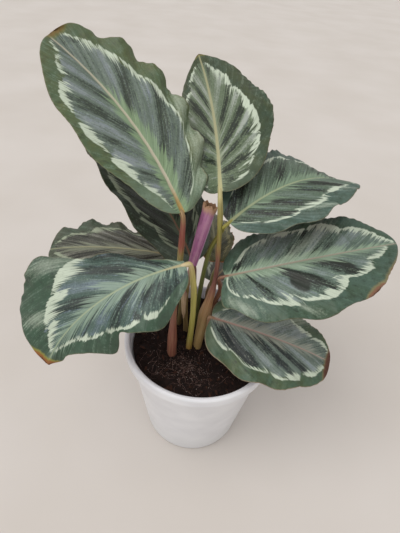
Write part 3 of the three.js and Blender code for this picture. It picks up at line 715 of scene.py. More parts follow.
def midrib_frame(leaf, u):
    """Directions at places along the midrib: towards the tip, to the right, and up out of the blade."""
    heading = np.radians(leaf["heading"] + leaf["sweep"] * u)
    slope = np.radians(leaf["rise"] - leaf["droop"] * u ** 1.2)
    lean = np.radians(leaf["roll"] + leaf["twist"] * u)[..., None]
    forward = np.stack(
        [np.cos(slope) * np.cos(heading), np.cos(slope) * np.sin(heading), np.sin(slope)], axis=-1
    )
    level = np.stack([np.sin(heading), -np.cos(heading), np.zeros_like(heading)], axis=-1)
    upright = np.cross(level, forward)
    right = level * np.cos(lean) - upright * np.sin(lean)
    up = upright * np.cos(lean) + level * np.sin(lean)
    return forward, right, up


def midrib_places(leaf, u):
    middles = (np.arange(MIDRIB_STEPS) + 0.5) / MIDRIB_STEPS
    forward = midrib_frame(leaf, middles)[0]
    steps = np.cumsum(forward * leaf["length"] / MIDRIB_STEPS, axis=0)
    path = np.vstack([[0, 0, 0], steps]) + np.array(leaf["joint"], dtype=float)
    return read_path(path, np.arange(MIDRIB_STEPS + 1), u * MIDRIB_STEPS)


def half_width(leaf, u, side):
    """Distance from the midrib to the edge, with side -1 for the left and 1 for the right."""
    peak = leaf["peak"] + side * leaf["skew"]
    shifted = np.clip(u, 0, 1) ** (np.log(0.5) / np.log(peak))
    power = lerp(0.5, by_side(side, leaf["tip_power"]), u)
    wide = np.maximum(np.sin(np.pi * shifted), 0) ** power * leaf["width"] / 2 * (1 + side * leaf["lopside"])
    for bump_side, place, height, spread in leaf["bumps"]:
        wide = wide + height * np.exp(-((u - place) / spread) ** 2) * (side == bump_side)
    shoulder = lerp(KEEL_HALF_WIDTH, KEEL_TIP_HALF_WIDTH, u) + lerp(BASE_SHOULDER, TIP_SHOULDER, u)
    return np.hypot(wide, shoulder)


def own_number(leaf):
    """A whole number of the leaf's own, for its random draws and its noise."""
    return sum(map(ord, leaf["name"]))


def edge_ripple(leaf, u, side):
    """Small folds of the edge, different on each leaf and side, from about -1 to 1."""
    chance = np.random.default_rng(own_number(leaf))
    ripple = np.zeros_like(u)
    for number in RIPPLE_COUNTS:
        phases = chance.uniform(0, 2 * np.pi, 2)
        strength = chance.uniform(*RIPPLE_STRENGTHS)
        ripple += strength * np.sin(2 * np.pi * number * u + by_side(side, phases))
    return ripple


def blade_surface(leaf, u, a):
    """The blade's middle surface: u along the midrib, a from -1 at the left edge to 1 at the right."""
    side = np.where(a < 0, -1, 1)
    share = np.abs(a)
    half = half_width(leaf, u, side)
    fold, arch = (np.radians(by_side(side, leaf[key])) for key in ("fold", "arch"))
    out = half * (np.sin(fold) - np.sin(fold - arch * share)) / arch
    rise = half * (np.cos(fold - arch * share) - np.cos(fold)) / arch
    full = half / (leaf["width"] / 2)
    back = leaf["lobe"] * leaf["length"] * share * full * np.exp(-u / LOBE_LENGTH_SHARE)
    height, number, start = (by_side(side, pair) for pair in zip(*leaf["waves"]))
    phase = 2 * np.pi * (number * (u - WAVE_SLANT * share) + start)
    reach = height * share ** WAVE_EXPONENT * np.minimum(1, 1.4 * full)
    ripple = edge_ripple(leaf, u, side) * share ** RIPPLE_EXPONENT * np.minimum(1, full)
    forward, right, up = midrib_frame(leaf, u)
    place = midrib_places(leaf, u)
    out = out + SCALLOP_SHARE * reach * np.cos(phase) + RIPPLE_OUT * ripple
    place = place + right * (side * out)[..., None]
    place = place + up * (rise + reach * np.sin(phase) + RIPPLE_UP * ripple)[..., None]
    return place - forward * back[..., None]


def distance_to_edge(leaf, along, across):
    """Millimetres to the outline of the blade laid flat."""
    u = np.linspace(0, 1, OUTLINE_STEPS)
    distance = np.full(along.shape, np.inf)
    for side in (-1, 1):
        outline = np.stack([u * leaf["length"], side * half_width(leaf, u, side)], axis=-1)
        gap = np.hypot(along[..., None] - outline[:, 0], across[..., None] - outline[:, 1])
        distance = np.minimum(distance, gap.min(axis=-1))
    return distance


def plain_flames(leaf):
    """Flames for a leaf that is hardly seen: the same few on each side, at an even depth."""
    depth = leaf["width"] * PLAIN_RING_SHARE
    flames = []
    for side in (-1, 1):
        for start, end in PLAIN_FLAMES:
            u = np.linspace(start, end, len(PLAIN_FLAME_WIDTHS))
            across = side * (half_width(leaf, u, side) - depth)
            flames.append(list(zip(u * leaf["length"], across, PLAIN_FLAME_WIDTHS)))
    return flames


def ring_fields(flames, side, along, across):
    """Depth inside the ring's line, then depth in the flame there, distance from its ends and its width."""
    nearest, closest = np.full(along.shape, -1e3), np.full(along.shape, 1e3)
    inside = nearest
    zone, ring, reach, width = (np.zeros(along.shape) for _ in range(4))
    for number, flame in enumerate(flames):
        length = np.hypot(*(np.diff(flame, axis=0).T[:2])).sum()
        path = smooth_route(flame, int(length) + 4)
        tangent = unit(np.gradient(path[:, :2], axis=0))
        inward = side * np.stack([-tangent[:, 1], tangent[:, 0]], axis=-1)
        gap_along, gap_across = along[..., None] - path[:, 0], across[..., None] - path[:, 1]
        i = np.hypot(gap_along, gap_across).argmin(axis=-1)
        gap = np.stack([along - path[i, 0], across - path[i, 1]], axis=-1)
        signed = (gap * inward[i]).sum(axis=-1)
        passed = (gap * tangent[i]).sum(axis=-1) + i * length / (len(path) - 1)
        ends = np.minimum(passed, length - passed) + 0.4
        value = np.minimum(path[i, 2] / 2 - np.abs(signed), ends)
        best = value > nearest
        ring = np.where(best, signed + path[i, 2] / 2, ring)
        reach = np.where(best, ends, reach)
        width = np.where(best, path[i, 2], width)
        nearest = np.maximum(nearest, value)
        distance = np.hypot(*np.moveaxis(gap, -1, 0))
        if number == 0:
            signed = np.minimum(signed, passed + 2)
        zone = np.where(distance < closest, signed, zone)
        closest = np.minimum(closest, distance)
        beside = (passed > -1) & (passed < length + 1) & (distance < ZONE_REACH)
        inside = np.where(beside, np.maximum(inside, signed), inside)
    return np.maximum(zone, inside), ring, reach, width


def blade_fields(leaf, look, u, a):
    """What the leaf's colours follow, in millimetres on the blade laid flat."""
    side = np.where(a < 0, -1, 1)
    half = half_width(leaf, u, side)
    along = u * leaf["length"]
    across = a * half
    edge = distance_to_edge(leaf, along, across)
    lean, more, curve = (by_side(side, pair) for pair in zip(*look["slant"]))
    away = np.abs(across)
    vein = (along - lean * away - curve * a * away * side) / (1 + more * away / leaf["length"])
    core = by_side(side, [evenly(widths, u) for widths in leaf["core"]])
    flames = leaf["flames"] or plain_flames(leaf)
    halves = [ring_fields([f for f in flames if f[0][1] * s > 0], s, along, across) for s in (-1, 1)]
    zone, ring, reach, width = (by_side(side, pair) for pair in zip(*halves))
    band = np.zeros(u.shape)
    for band_side, middle, wide, strength in look["bands"]:
        band = band + strength * np.exp(-np.abs((vein - middle) / wide) ** 3) * (side == band_side)
    dry = np.full(u.shape, -20.0)
    for x, y, long, broad, deep in look["dry"]:
        dry = np.maximum(dry, deep * (1 - ((along - x) / long) ** 2 - ((across - y) / broad) ** 2) - edge)
    return dict(
        along=along, across=across, edge=edge, vein=vein, band=band, zone=zone, ring=ring, reach=reach,
        width=width, core=core, dry=dry, spot=patches(look["spots"], along, across),
        bloom=patches(look["painted_highlights"], along, across),
    )


def patches(places, along, across):
    """1 in the middle of a patch, 0 on its border and less outside."""
    patch = np.full(along.shape, -1.0)
    for x, y, long, broad in places:
        turned = across - y - np.sign(y) * SPOT_LEAN * (along - x)
        patch = np.maximum(patch, 1 - np.hypot((along - x) / long, turned / broad))
    return patch


def crowded(count, pull):
    """Even steps from 0 to 1, crowded together at both ends."""
    steps = np.linspace(0, 1, count + 1)
    return steps - pull / (2 * np.pi) * np.sin(2 * np.pi * steps)


def blade_relief(fields, u):
    """How far the upper and the lower face stand off the blade's middle surface."""
    away = np.abs(fields["across"])
    inside = np.minimum(1, fields["edge"] / RELIEF_FADE_AT_EDGE) * np.minimum(1, away / RELIEF_FADE_AT_MIDRIB)
    veins = np.cos(2 * np.pi * fields["vein"] / VEIN_SPACING) * VEIN_RELIEF * inside
    veins = veins + np.cos(2 * np.pi * fields["vein"] / PLEAT_SPACING) * PLEAT_RELIEF * inside
    rib = np.exp(-(away / lerp(CHANNEL_HALF_WIDTH, CHANNEL_TIP_HALF_WIDTH, u)) ** 2)
    channel = MIDRIB_CHANNEL * lerp(1, CHANNEL_TIP_SHARE, u) * rib
    keel = lerp(KEEL_DEPTH, KEEL_TIP_DEPTH, u) * rib
    sheet = SHEET_HALF_THICKNESS * np.sqrt(np.clip(fields["edge"] / EDGE_TAPER, 0, 1))
    return sheet + veins - channel, sheet - veins + keel * np.minimum(1, fields["edge"] / KEEL_FADE_AT_EDGE)


def blade_piece(leaf):
    """The whole blade as one closed skin, with what its colours follow stored on its points."""
    look = {**LOOK, **LOOKS[leaf["name"]]}
    rows = int(leaf["length"] * FINE_ROWS_PER_MM)
    sides = crowded(FINE_COLUMNS // 2, COLUMN_CROWDING)
    columns = np.concatenate([-sides[:0:-1], sides])
    u, a = np.meshgrid(crowded(rows, ROW_CROWDING), columns, indexing="ij")
    middle = blade_surface(leaf, u, a)
    normal = unit(np.cross(np.gradient(middle, axis=1), np.gradient(middle, axis=0)))
    fields = blade_fields(leaf, look, u, a)
    above, below = blade_relief(fields, u)
    top = middle + normal * above[..., None]
    bottom = middle - normal * below[..., None]

    # The two faces share the points of the blade's edge
    top[0], top[-1], top[:, 0], top[:, -1] = middle[0], middle[-1], middle[:, 0], middle[:, -1]
    points = np.vstack([top.reshape(-1, 3), bottom[1:-1, 1:-1].reshape(-1, 3)])
    upper = np.arange(u.size).reshape(u.shape)
    lower = upper.copy()
    lower[1:-1, 1:-1] = np.arange(u.size, len(points)).reshape(lower[1:-1, 1:-1].shape)
    faces = np.vstack([quads(upper), quads(lower)[:, ::-1]])
    slots = np.repeat([0, 1], len(faces) // 2)
    values = {k: np.concatenate([v.ravel(), v[1:-1, 1:-1].ravel()]) for k, v in fields.items()}

    # The flat leaf twice on one sheet: its upper face on the left, its underside on the right
    flat = np.stack([0.25 + 0.46 * fields["across"] / (1.2 * leaf["width"]), 0.01 + 0.98 * u], axis=-1)
    corners = flat.reshape(-1, 2)[quads(upper)]
    uv = np.vstack([corners.reshape(-1, 2), corners[:, ::-1].reshape(-1, 2) + [0.5, 0.0]])

    materials = [leaf_top(leaf, look), leaf_underside(leaf, look)]
    name = f"leaf_{leaf['name']}"
    piece = mesh_piece(name, points, faces, materials, slots=slots, fields=values, uv=uv)
    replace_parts(piece, f"blade_{leaf['name']}")


# The leaf's colours

def leaf_top(leaf, look):
    """Margin, pale ring of flames, banded middle, pale feathers along the midrib, and dry places."""
    s = Surface(f"leaf_top_{leaf['name']}")
    seed = float(own_number(leaf) % 97)
    across, along, edge, vein, zone, ring, reach = s.attributes("across along edge vein zone ring reach")
    width, core, dry, spot, band, bloom = s.attributes("width core dry spot band bloom")
    out = abs(across)
    half = across.smooth(-0.5, 0.5) * 40.0

    def veined(fineness, length, shift, **settings):
        """Noise drawn out along the side veins."""
        return s.noise(vein / fineness, across / length, seed + shift, **settings)

    def even(size, shift, **settings):
        return s.noise(along / size, across / size, seed + shift, **settings)

    # Noise that runs along the side veins, even noise, and steps from one vein to the next
    streak = veined(1.8, 16.0, 0.0, detail=3.0)
    hair = veined(0.9, 10.0, 31.0, detail=3.0, roughness=0.65)
    fine = veined(0.45, 6.0, 43.0, roughness=0.6)
    streak_wide = veined(4.0, 22.0, 5.0)
    speck = veined(1.0, 2.2, 9.0, detail=3.0, roughness=0.65)
    # Thin bluish streaks of painted sheen
    bluish_sheen = veined(1.3, 7.0, 91.0, detail=3.0, roughness=0.6)
    patch = veined(look["patches"], 30.0, 21.0)
    mottle = even(5.0, 51.0, detail=4.0, roughness=0.6)
    grit = even(1.3, 81.0, detail=3.0, roughness=0.6)
    slow = even(17.0, 13.0)
    clump = s.noise(vein / 8.0, half, seed + 61.0, detail=1.0)
    warped = vein + streak_wide * 1.5
    steps = s.dice(warped / 3.1, half)
    steps_fine = s.dice(warped / 1.35 + 7.0, half)
    teeth = (steps * 0.5 + steps_fine * 0.45 + streak * 0.7) * look["jags"]

    # The margin outside the ring
    base = (along + slow * 5.0).smooth(38.0, 8.0) * (0.75 + mottle * 0.35)
    margin = s.layers(
        look["margin"],
        ((slow + mottle * 0.6).smooth(-0.7, 0.7), look["margin_cool"]),
        ((streak + mottle * 0.6 + grit * 0.6).smooth(0.0, 1.0) * 0.5, look["base"]),
        ((hair + mottle * 0.9 + grit * 0.6).smooth(0.0, -1.0) * 0.62, look["dark"]),
        (base * look["base_share"], look["base"]),
    )

    # Inside it, dark and grey bands follow the veins, greyer behind the broad flames. The grey bands are
    # partly a painted sheen, and the thin bluish streaks over them are painted sheen.
    behind = (width.smooth(2.0, 6.5) - 0.45) * zone.smooth(16.0, 3.0)
    stripe = band * 0.62 + patch * look["patchy"] + behind * 0.35 + mottle * 0.25
    drawn = stripe + streak * 0.4 + hair * 0.35 + grit * 0.25
    middle = s.layers(
        look["dark"],
        (drawn.smooth(-0.6, 0.0), look["green"]),
        (drawn.smooth(0.05, 0.85), look["sheen"]),
        ((hair + fine * 0.4 + grit * 0.8).smooth(0.1, 1.0) * 0.6, look["feather"]),
        ((streak * 0.5 + fine * 0.8 + grit * 0.7).smooth(-0.1, -1.0) * 0.65, look["dark"]),
        ((bluish_sheen + patch * 0.5 + grit * 0.3).smooth(0.2, 1.1) * look["bluish_sheen_share"], look["bluish_sheen"]),
        ((spot + mottle * 0.15).smooth(0.0, 0.35) * 0.9, look["spot_colour"]),
    )

    # Pale feathers along the midrib, in uneven clumps
    spikes = (steps * 0.4 + steps_fine * 0.3 + streak * 0.7 + hair * 0.45 + clump * 0.9) * look["spikes"]
    feathers = (core + spikes * core.smooth(0.0, 4.0) - out).smooth(-1.6, 2.6)
    feathers = feathers * core.smooth(0.2, 2.0) * (0.72 + streak * 0.22 + hair * 0.3)

    # The pale ring: toothed on its outer side, broken into streaks along the veins towards its inner side
    filled = look["ring_fill"] - ring / width * 1.35 + streak * 0.9 + hair * 0.9 + steps * 0.4
    trail = (hair + streak * 0.7).smooth(0.5, 1.1) * ring.smooth(14.0, 2.0) * 0.5
    filled = s.math("MAXIMUM", filled.smooth(-0.25, 0.35), trail)
    filled = filled * (ring + teeth * 0.6).smooth(-0.4, 0.5) * (reach + streak * 2.2 + hair).smooth(-0.8, 1.2)
    worn = 0.97 - speck.smooth(0.1, 1.0) * 0.3 - grit.smooth(0.0, 1.0) * 0.3 - mottle.smooth(0.3, 1.2) * 0.15
    # Pale patches of painted highlight, which also lighten parts of the blade that lie in shade
    painted_highlight_amount = (bloom * 0.8 + streak * 0.45 + grit * 0.3).smooth(0.0, 0.9) * 0.4

    # Fine side veins, the midrib, the thin rim and the dry places
    line = abs((vein / (VEIN_SPACING / 2)).fraction() - 0.5).smooth(0.41, 0.5)
    share = along / leaf["length"]
    rib_width = along.smooth(14.0, 0.0) * 0.4 + (1.0 - share * 0.6) * look["rib"]
    rib = (rib_width - out + hair * 0.1).smooth(-0.35, 0.3)
    rib_colour = s.layers(look["midrib"], ((along + streak * 4.0).smooth(26.0, 4.0), look["joint"]))
    rim = (0.5 + speck * 0.2 - edge).smooth(-0.25, 0.25)
    spoiled = dry + streak * 0.6 + mottle * 1.1
    colour = s.layers(
        margin,
        ((zone + teeth * 0.6).smooth(-0.5, 0.5), middle),
        (feathers, look["feather"]),
        (filled * worn, look["pale"]),
        (painted_highlight_amount, look["pale"]),
        (line * 0.16, look["dark"]),
        (rib * (0.97 - share * 0.3), rib_colour),
        (rim * look["rim_share"], look["rim"]),
        (spoiled.smooth(-2.6, 0.4) * 0.75, look["dry_halo"]),
        (spoiled.smooth(0.0, 1.8) * 0.9, look["dry_colour"]),
        (spoiled.smooth(2.2, 4.0) * 0.8, "#4f2c1c"),
    )
    roughness = 0.46 + speck * 0.05 + mottle * 0.03 + spoiled.smooth(-1.0, 1.0) * 0.25
    height = line * -0.5 + speck * 0.12 + streak * 0.2 + hair * 0.25 + grit * 0.12
    return s.finish(colour, roughness, height, relief=0.16, Specular_IOR_Level=0.5)


def leaf_underside(leaf, look):
    """Burgundy below, with the veins showing and a greener midrib."""
    s = Surface(f"leaf_underside_{leaf['name']}")
    seed = float(own_number(leaf) % 89)
    across, along, edge, vein, ring = s.attributes("across along edge vein ring")
    streak = s.noise(vein / 1.6, across / 14.0, seed, detail=3.0)
    slow = s.noise(along / 20.0, across / 20.0, seed + 3.0)
    speck = s.noise(vein / 0.7, across / 2.5, seed + 9.0, detail=3.0)
    line = abs((vein / (VEIN_SPACING / 2)).fraction() - 0.5).smooth(0.4, 0.5)
    rib = (1.9 - along / leaf["length"] * 1.2 - abs(across)).smooth(-0.5, 0.4)
    colour = s.layers(
        "#542f3d",
        (slow.smooth(-0.8, 0.8), "#6a3d4e"),
        (streak.smooth(-0.3, 1.4) * 0.4, "#7c505e"),
        ((ring + streak).smooth(-1.2, 1.2) * 0.35, "#8a686a"),
        (line * 0.35, "#3c242e"),
        (rib * 0.85, "#87705a"),
        ((0.7 - edge).smooth(-0.3, 0.4) * 0.5, look["rim"]),
    )
    return s.finish(colour, 0.5 + speck * 0.05, line * -0.4 + speck * 0.15, relief=0.12)


# Stalks

def carried_frames(route):
    """Two directions across the route at each place, carried along it without twisting."""
    tangents = unit(np.gradient(route, axis=0))
    first = np.cross(tangents[0], [0.0, 1.0, 0.0])
    firsts = []
    for tangent in tangents:
        first = first - tangent * np.dot(first, tangent)
        first = first / np.linalg.norm(first)
        firsts.append(first)
    firsts = np.array(firsts)
    return firsts, np.cross(tangents, firsts)


def tube_points(route, radius):
    """Rings of points round a route, from the radius at each place and turn."""
    firsts, seconds = carried_frames(route)
    turn = ring_turns(radius.shape[1])
    ring = firsts[:, None] * np.cos(turn)[None, :, None] + seconds[:, None] * np.sin(turn)[None, :, None]
    return (route[:, None] + ring * radius[..., None]).reshape(-1, 3)


def stalk_tube(name, route, radius, material):
    """A closed round stalk whose radius is given for each place and turn."""
    steps, sides = radius.shape
    turn = ring_turns(sides)
    points = np.vstack([tube_points(route, radius), route[0], route[-1]])
    fields = dict(
        share=np.concatenate([np.repeat(np.linspace(0, 1, steps), sides), [0, 1]]),
        turn_x=np.concatenate([np.tile(np.cos(turn), steps), [0, 0]]),
        turn_y=np.concatenate([np.tile(np.sin(turn), steps), [0, 0]]),
    )
    return mesh_piece(name, points, closed_rings(steps, sides), [material], fields=fields)


def stalk_material(name, stops, seed, length):
    """A satin stalk: colours along it, streaks and fine ridges lengthwise, and small dark specks."""
    s = Surface(name)
    share, x, y = s.attributes("share turn_x turn_y")
    streak = s.noise(x * 4.0 + seed, y * 4.0, share * (length / 25.0), detail=3.0, roughness=0.6)
    patch = s.noise(x * 1.2 + seed, y * 1.2, share * (length / 12.0))
    speck = s.noise(x * 7.0, y * 7.0 + seed, share * (length / 1.5))
    colour = s.layers(
        s.ramp(share + patch * 0.025, stops),
        (streak.smooth(-0.1, 1.0) * 0.6, "#c9b288"),
        (streak.smooth(0.1, -1.0) * 0.65, "#422c22"),
        (speck.smooth(0.75, 1.3) * 0.5, "#4f2f22"),
    )
    height = streak * 0.5 + speck * 0.2
    return s.finish(colour, 0.42 + streak * 0.06, height, relief=0.12, Specular_IOR_Level=0.5)


# Colours of each stalk from the soil to the joint, after a name for its finish that nothing here uses
STALK_LOOKS = dict(
    upper_left=("red_stalk", [
        (0.0, "#6a4034"), (0.09, "#8c5648"), (0.26, "#96604f"), (0.45, "#8a5a48"), (0.65, "#857a42"),
        (0.71, "#8f8448"), (0.755, "#8a4a3a"), (0.81, "#883f38"), (0.87, "#935548"), (0.925, "#9a8058"),
    ]),
    upper_middle=("olive_stalk", [
        (0.0, "#6c5838"), (0.09, "#a08656"), (0.27, "#a68c60"), (0.385, "#a67e58"), (0.46, "#885848"),
        (0.53, "#6e3c36"), (0.61, "#7c4c3e"), (0.67, "#947a46"), (0.74, "#908c42"), (0.81, "#a39c56"),
        (0.87, "#b8ae74"), (0.93, "#c0b888"),
    ]),
    upper_right=("green_stalk", [
        (0.0, "#4f5230"), (0.3, "#5f6c38"), (0.6, "#6a7838"), (0.78, "#7e7c30"), (0.88, "#8f8a34"),
        (1.0, "#a3a35a"),
    ]),
    middle_right=("tan_stalk", [(0.0, "#5f4430"), (0.4, "#7c5440"), (0.8, "#6f4034"), (1.0, "#8f6a55")]),
    lower_right=("tan_stalk", [(0.0, "#6f563a"), (0.5, "#86664a"), (1.0, "#9a7a60")]),
    front_left=("olive_stalk", [
        (0.0, "#7a5632"), (0.09, "#a87444"), (0.16, "#b08c4a"), (0.25, "#aca552"), (0.6, "#b4b05c"),
        (0.8, "#bcb262"), (0.87, "#cab878"), (0.92, "#d4c49c"),
    ]),
    back_left=("green_stalk", [(0.0, "#5f4a34"), (0.5, "#706a3c"), (1.0, "#8a7a48")]),
    shaded=("red_stalk", [(0.0, "#5f4030"), (0.5, "#74503c"), (1.0, "#8a6048")]),
    rear=("olive_stalk", [(0.0, "#5f5034"), (0.5, "#6f6a3a"), (1.0, "#807a44")]),
    rear_low=("olive_stalk", [(0.0, "#5f4c34"), (0.5, "#705a3c"), (1.0, "#806c48")]),
)


def petiole_route(leaf):
    """The CAD stalk's route, carried on under the blade, where the stalk becomes the midrib's keel."""
    forward, _, up = midrib_frame(leaf, np.array(0.0))
    joint = np.array(leaf["joint"], dtype=float) - up * KEEL_DEPTH / 2
    foot = np.array(leaf["stem"][0], dtype=float) - [0, 0, STEM_DEPTH_IN_SOIL]
    points = [foot, *leaf["stem"], joint - forward * leaf["lead"], joint - forward * JOINT_GAP]
    route = smooth_route(points, STALK_STEPS)
    share = np.linspace(0.1, 1, UNDER_STEPS)
    end = leaf["radii"][-1]
    under_radius = lerp(end, UNDER_RADIUS, smooth_step(share, 0, 1))
    depth = lerp(KEEL_DEPTH / 2, under_radius + UNDER_CLEARANCE, smooth_step(share, 0, 0.45))
    under = midrib_places(leaf, share * UNDER_LENGTH / leaf["length"]) - up * depth[:, None]
    return route, under, under_radius


def petiole_piece(leaf, number):
    """A leaf's stalk, with ridges that fade out towards the joint, and the part of it under the blade."""
    slot, stops = STALK_LOOKS[leaf["name"]]
    route, under, under_radius = petiole_route(leaf)
    length = np.linalg.norm(np.diff(route, axis=0), axis=1).sum()
    share = np.linspace(0, 1, STALK_STEPS)[:, None]
    turn = ring_turns(STALK_SIDES)
    ridges = 0.025 * np.cos(7 * turn) + 0.02 * np.cos(3 * turn + number)
    radius = evenly([leaf["radii"][0], *leaf["radii"]], share) * (1 + ridges * np.clip((1 - share) * 8, 0, 1))
    radius = np.vstack([radius, np.repeat(under_radius[:, None], STALK_SIDES, axis=1)])
    name = f"stalk_{leaf['name']}"
    material = stalk_material(name, stops, number * 3.7, length)
    piece = stalk_tube(name, np.vstack([route, under]), radius, material)
    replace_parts(piece, f"petiole_{leaf['name']}")


# The rolled leaf and its sheath

ROLLED = dict(
    foot=[-13, 11, 108],
    stalk=[[-15, 10, 148], [-14, 9, 170], [-11.5, 8.5, 190]],
    top=[-2, 10, 244],
    stalk_radii=[2.6, 2.2, 2.1, 2.2],
    bottom_radius=4.1,
    top_radius=5.4,
    flare=0.9,
    thickness=0.45,
    turns=1.55,
    pitch=1.15,
    start_angle=127,
    steps=(130, 90),
)
# start, end, tear and slope are shares of the stalk's length
SHEATH = dict(
    start=0.36,
    end=0.8,
    tear=0.12,
    slope=0.1,
    low_radius=3.3,
    high_radius=5,
    thickness=0.4,
    angles=[115, 285],
    steps=(44, 70),
)
SHEATH_ROUTE_STEPS = 400


def sheet_places(columns, rows):
    """Places from 0 to 1 along the two directions of a sheet."""
    return np.meshgrid(np.linspace(0, 1, columns + 1), np.linspace(0, 1, rows + 1), indexing="xy")


def rolled_leaf():
    """One sheet wound round itself, wider at its open top."""
    bottom = np.array(ROLLED["stalk"][-1], dtype=float)
    top = np.array(ROLLED["top"], dtype=float)
    axis = unit(top - bottom)
    across = unit(np.cross([0.0, 1.0, 0.0], axis))
    other = np.cross(axis, across)
    start = bottom + axis * JOINT_GAP
    x, y = sheet_places(*ROLLED["steps"])
    outer = lerp(ROLLED["bottom_radius"], ROLLED["top_radius"], np.sin(y * np.pi / 2))
    outer = outer + ROLLED["flare"] * smooth_step(y, 0.86, 1)
    radius = outer - ROLLED["pitch"] * ROLLED["turns"] * (1 - x)
    angle = 2 * np.pi * ROLLED["turns"] * x + math.radians(ROLLED["start_angle"])
    # The torn top: cut lower on one side, with small teeth
    teeth = 0.012 * np.sin(angle * 5) + 0.008 * np.sin(angle * 11 + 1)
    height = y * (1 - 0.02 * (1 + np.cos(angle - 1.0)) - teeth * y ** 6)
    flare = 0.25 * np.sin(angle * 2.5) * y ** 10
    pleats = 0.05 * np.cos(angle * 9)
    outwards = across * np.cos(angle)[..., None] + other * np.sin(angle)[..., None]
    centre = start + (top - start) * height[..., None]
    outside = centre + outwards * (radius + flare + pleats)[..., None]
    inside = outside - outwards * ROLLED["thickness"]
    return grid_shell("young_leaf", outside, inside, [rolled_outside(), rolled_inside()], x, y)


def grid_shell(name, outside, inside, materials, x, y):
    """A closed sheet from two grids of points, joined round their edge."""
    upper = np.arange(x.size).reshape(x.shape)
    lower = upper + x.size
    sheet = quads(upper)

    def edge_walls(first, second):
        return np.stack([first[:-1], second[:-1], second[1:], first[1:]], axis=-1)

    faces = np.vstack([
        sheet,
        quads(lower)[:, ::-1],
        edge_walls(upper[0], lower[0]),
        edge_walls(lower[-1], upper[-1]),
        edge_walls(lower[:, 0], upper[:, 0]),
        edge_walls(upper[:, -1], lower[:, -1]),
    ])
    slots = np.zeros(len(faces), dtype=int)
    slots[len(sheet):2 * len(sheet)] = 1
    points = np.vstack([outside.reshape(-1, 3), inside.reshape(-1, 3)])
    fields = dict(sheet_x=np.tile(x.ravel(), 2), sheet_y=np.tile(y.ravel(), 2))
    return mesh_piece(name, points, faces, materials, slots=slots, fields=fields)


def rolled_outside():
    """Mauve with streaks and blotches, a pale free edge and a tan torn top."""
    s = Surface("rolled_leaf_outside")
    x, y = s.attributes("sheet_x sheet_y")
    streak = s.noise(x * 60.0, y * 3.0, 2.0, detail=3.0)
    wide = s.noise(x * 14.0, y * 2.0, 5.0)
    blotch = streak + s.noise(x * 9.0, y * 9.0, 11.0, detail=3.0, roughness=0.6) * 0.5
    colour = s.layers(
        "#9c5787",
        (wide.smooth(-0.7, 0.7), "#bd86ac"),
        (blotch.smooth(0.0, 1.1) * 0.7, "#cfa2be"),
        (blotch.smooth(0.0, -1.1) * 0.7, "#66305c"),
        ((wide + y * -0.6).smooth(-0.3, 0.6) * 0.45, "#b58a90"),
        (x.smooth(0.97, 0.99) * 0.8, "#c8aacb"),
        ((y + streak * 0.03).smooth(0.86, 0.96), "#c29a86"),
        ((y + streak * 0.02).smooth(0.96, 1.0), "#a98566"),
    )
    return s.finish(colour, 0.45 + streak * 0.05, streak, relief=0.15)


def rolled_inside():
    """Dark green, and tan at the torn top."""
    s = Surface("rolled_leaf_inside")
    x, y = s.attributes("sheet_x sheet_y")
    streak = s.noise(x * 60.0, y * 3.0, 8.0, detail=3.0)
    colour = s.layers(
        "#3f4a30",
        (streak.smooth(-0.8, 0.8), "#5a6040"),
        ((y + streak * 0.02).smooth(0.88, 0.97), "#b08a6c"),
    )
    return s.finish(colour, 0.5 + streak * 0.05, streak, relief=0.15)


def rolled_stalk_route(count):
    buried = [ROLLED["foot"][0], ROLLED["foot"][1], ROLLED["foot"][2] - STEM_DEPTH_IN_SOIL]
    return smooth_route([buried, ROLLED["foot"], *ROLLED["stalk"]], count)


def dry_sheath():
    """A thin papery sheet part of the way round the stalk, torn into two strands below."""
    x, y = sheet_places(*SHEATH["steps"])
    fray = 0.012 * np.sin(23 * x + 1) + 0.008 * np.sin(51 * x)
    low = SHEATH["start"] + SHEATH["tear"] * (1 - np.abs(np.sin(2 * np.pi * x))) + np.maximum(fray, 0)
    high = SHEATH["end"] - SHEATH["slope"] * np.abs(2 * x - 1) - np.maximum(-fray, 0) * 0.6
    along = lerp(low, high, y)
    angle = np.radians(lerp(*SHEATH["angles"], x))
    rise = np.clip((along - SHEATH["start"]) / (SHEATH["end"] - SHEATH["start"]), 0, 1)
    crumple = 0.12 * np.sin(19 * x + 6 * y) + 0.08 * np.sin(37 * x - 11 * y)
    radius = lerp(SHEATH["low_radius"], SHEATH["high_radius"], rise ** 1.5) - 0.15 + crumple
    route = rolled_stalk_route(SHEATH_ROUTE_STEPS)
    centre = read_path(route, np.arange(SHEATH_ROUTE_STEPS), along * (SHEATH_ROUTE_STEPS - 1))
    outwards = np.stack([np.cos(angle), np.sin(angle), np.zeros_like(angle)], axis=-1)
    outside = centre + outwards * radius[..., None]
    inside = outside - outwards * SHEATH["thickness"]
    material = sheath_material()
    return grid_shell("papery_sheath", outside, inside, [material, material], x, y)


def sheath_material():
    """Straw with long streaks and dark specks, pinker at the top."""
    s = Surface("dry_sheath")
    x, y = s.attributes("sheet_x sheet_y")
    streak = s.noise(x * 26.0, y * 2.5, 3.0, detail=3.0)
    speck = s.noise(x * 40.0, y * 22.0, 7.0, detail=3.0)
    colour = s.layers(
        "#a88862",
        (streak.smooth(-0.8, 0.8), "#dcc8a8"),
        ((y + streak * 0.08).smooth(0.7, 1.0) * 0.6, "#a8767c"),
        (speck.smooth(0.5, 1.4) * 0.5, "#6a4a34"),
    )
    return s.finish(colour, 0.72 + streak * 0.06, streak * 0.8 + speck * 0.2, relief=0.2)


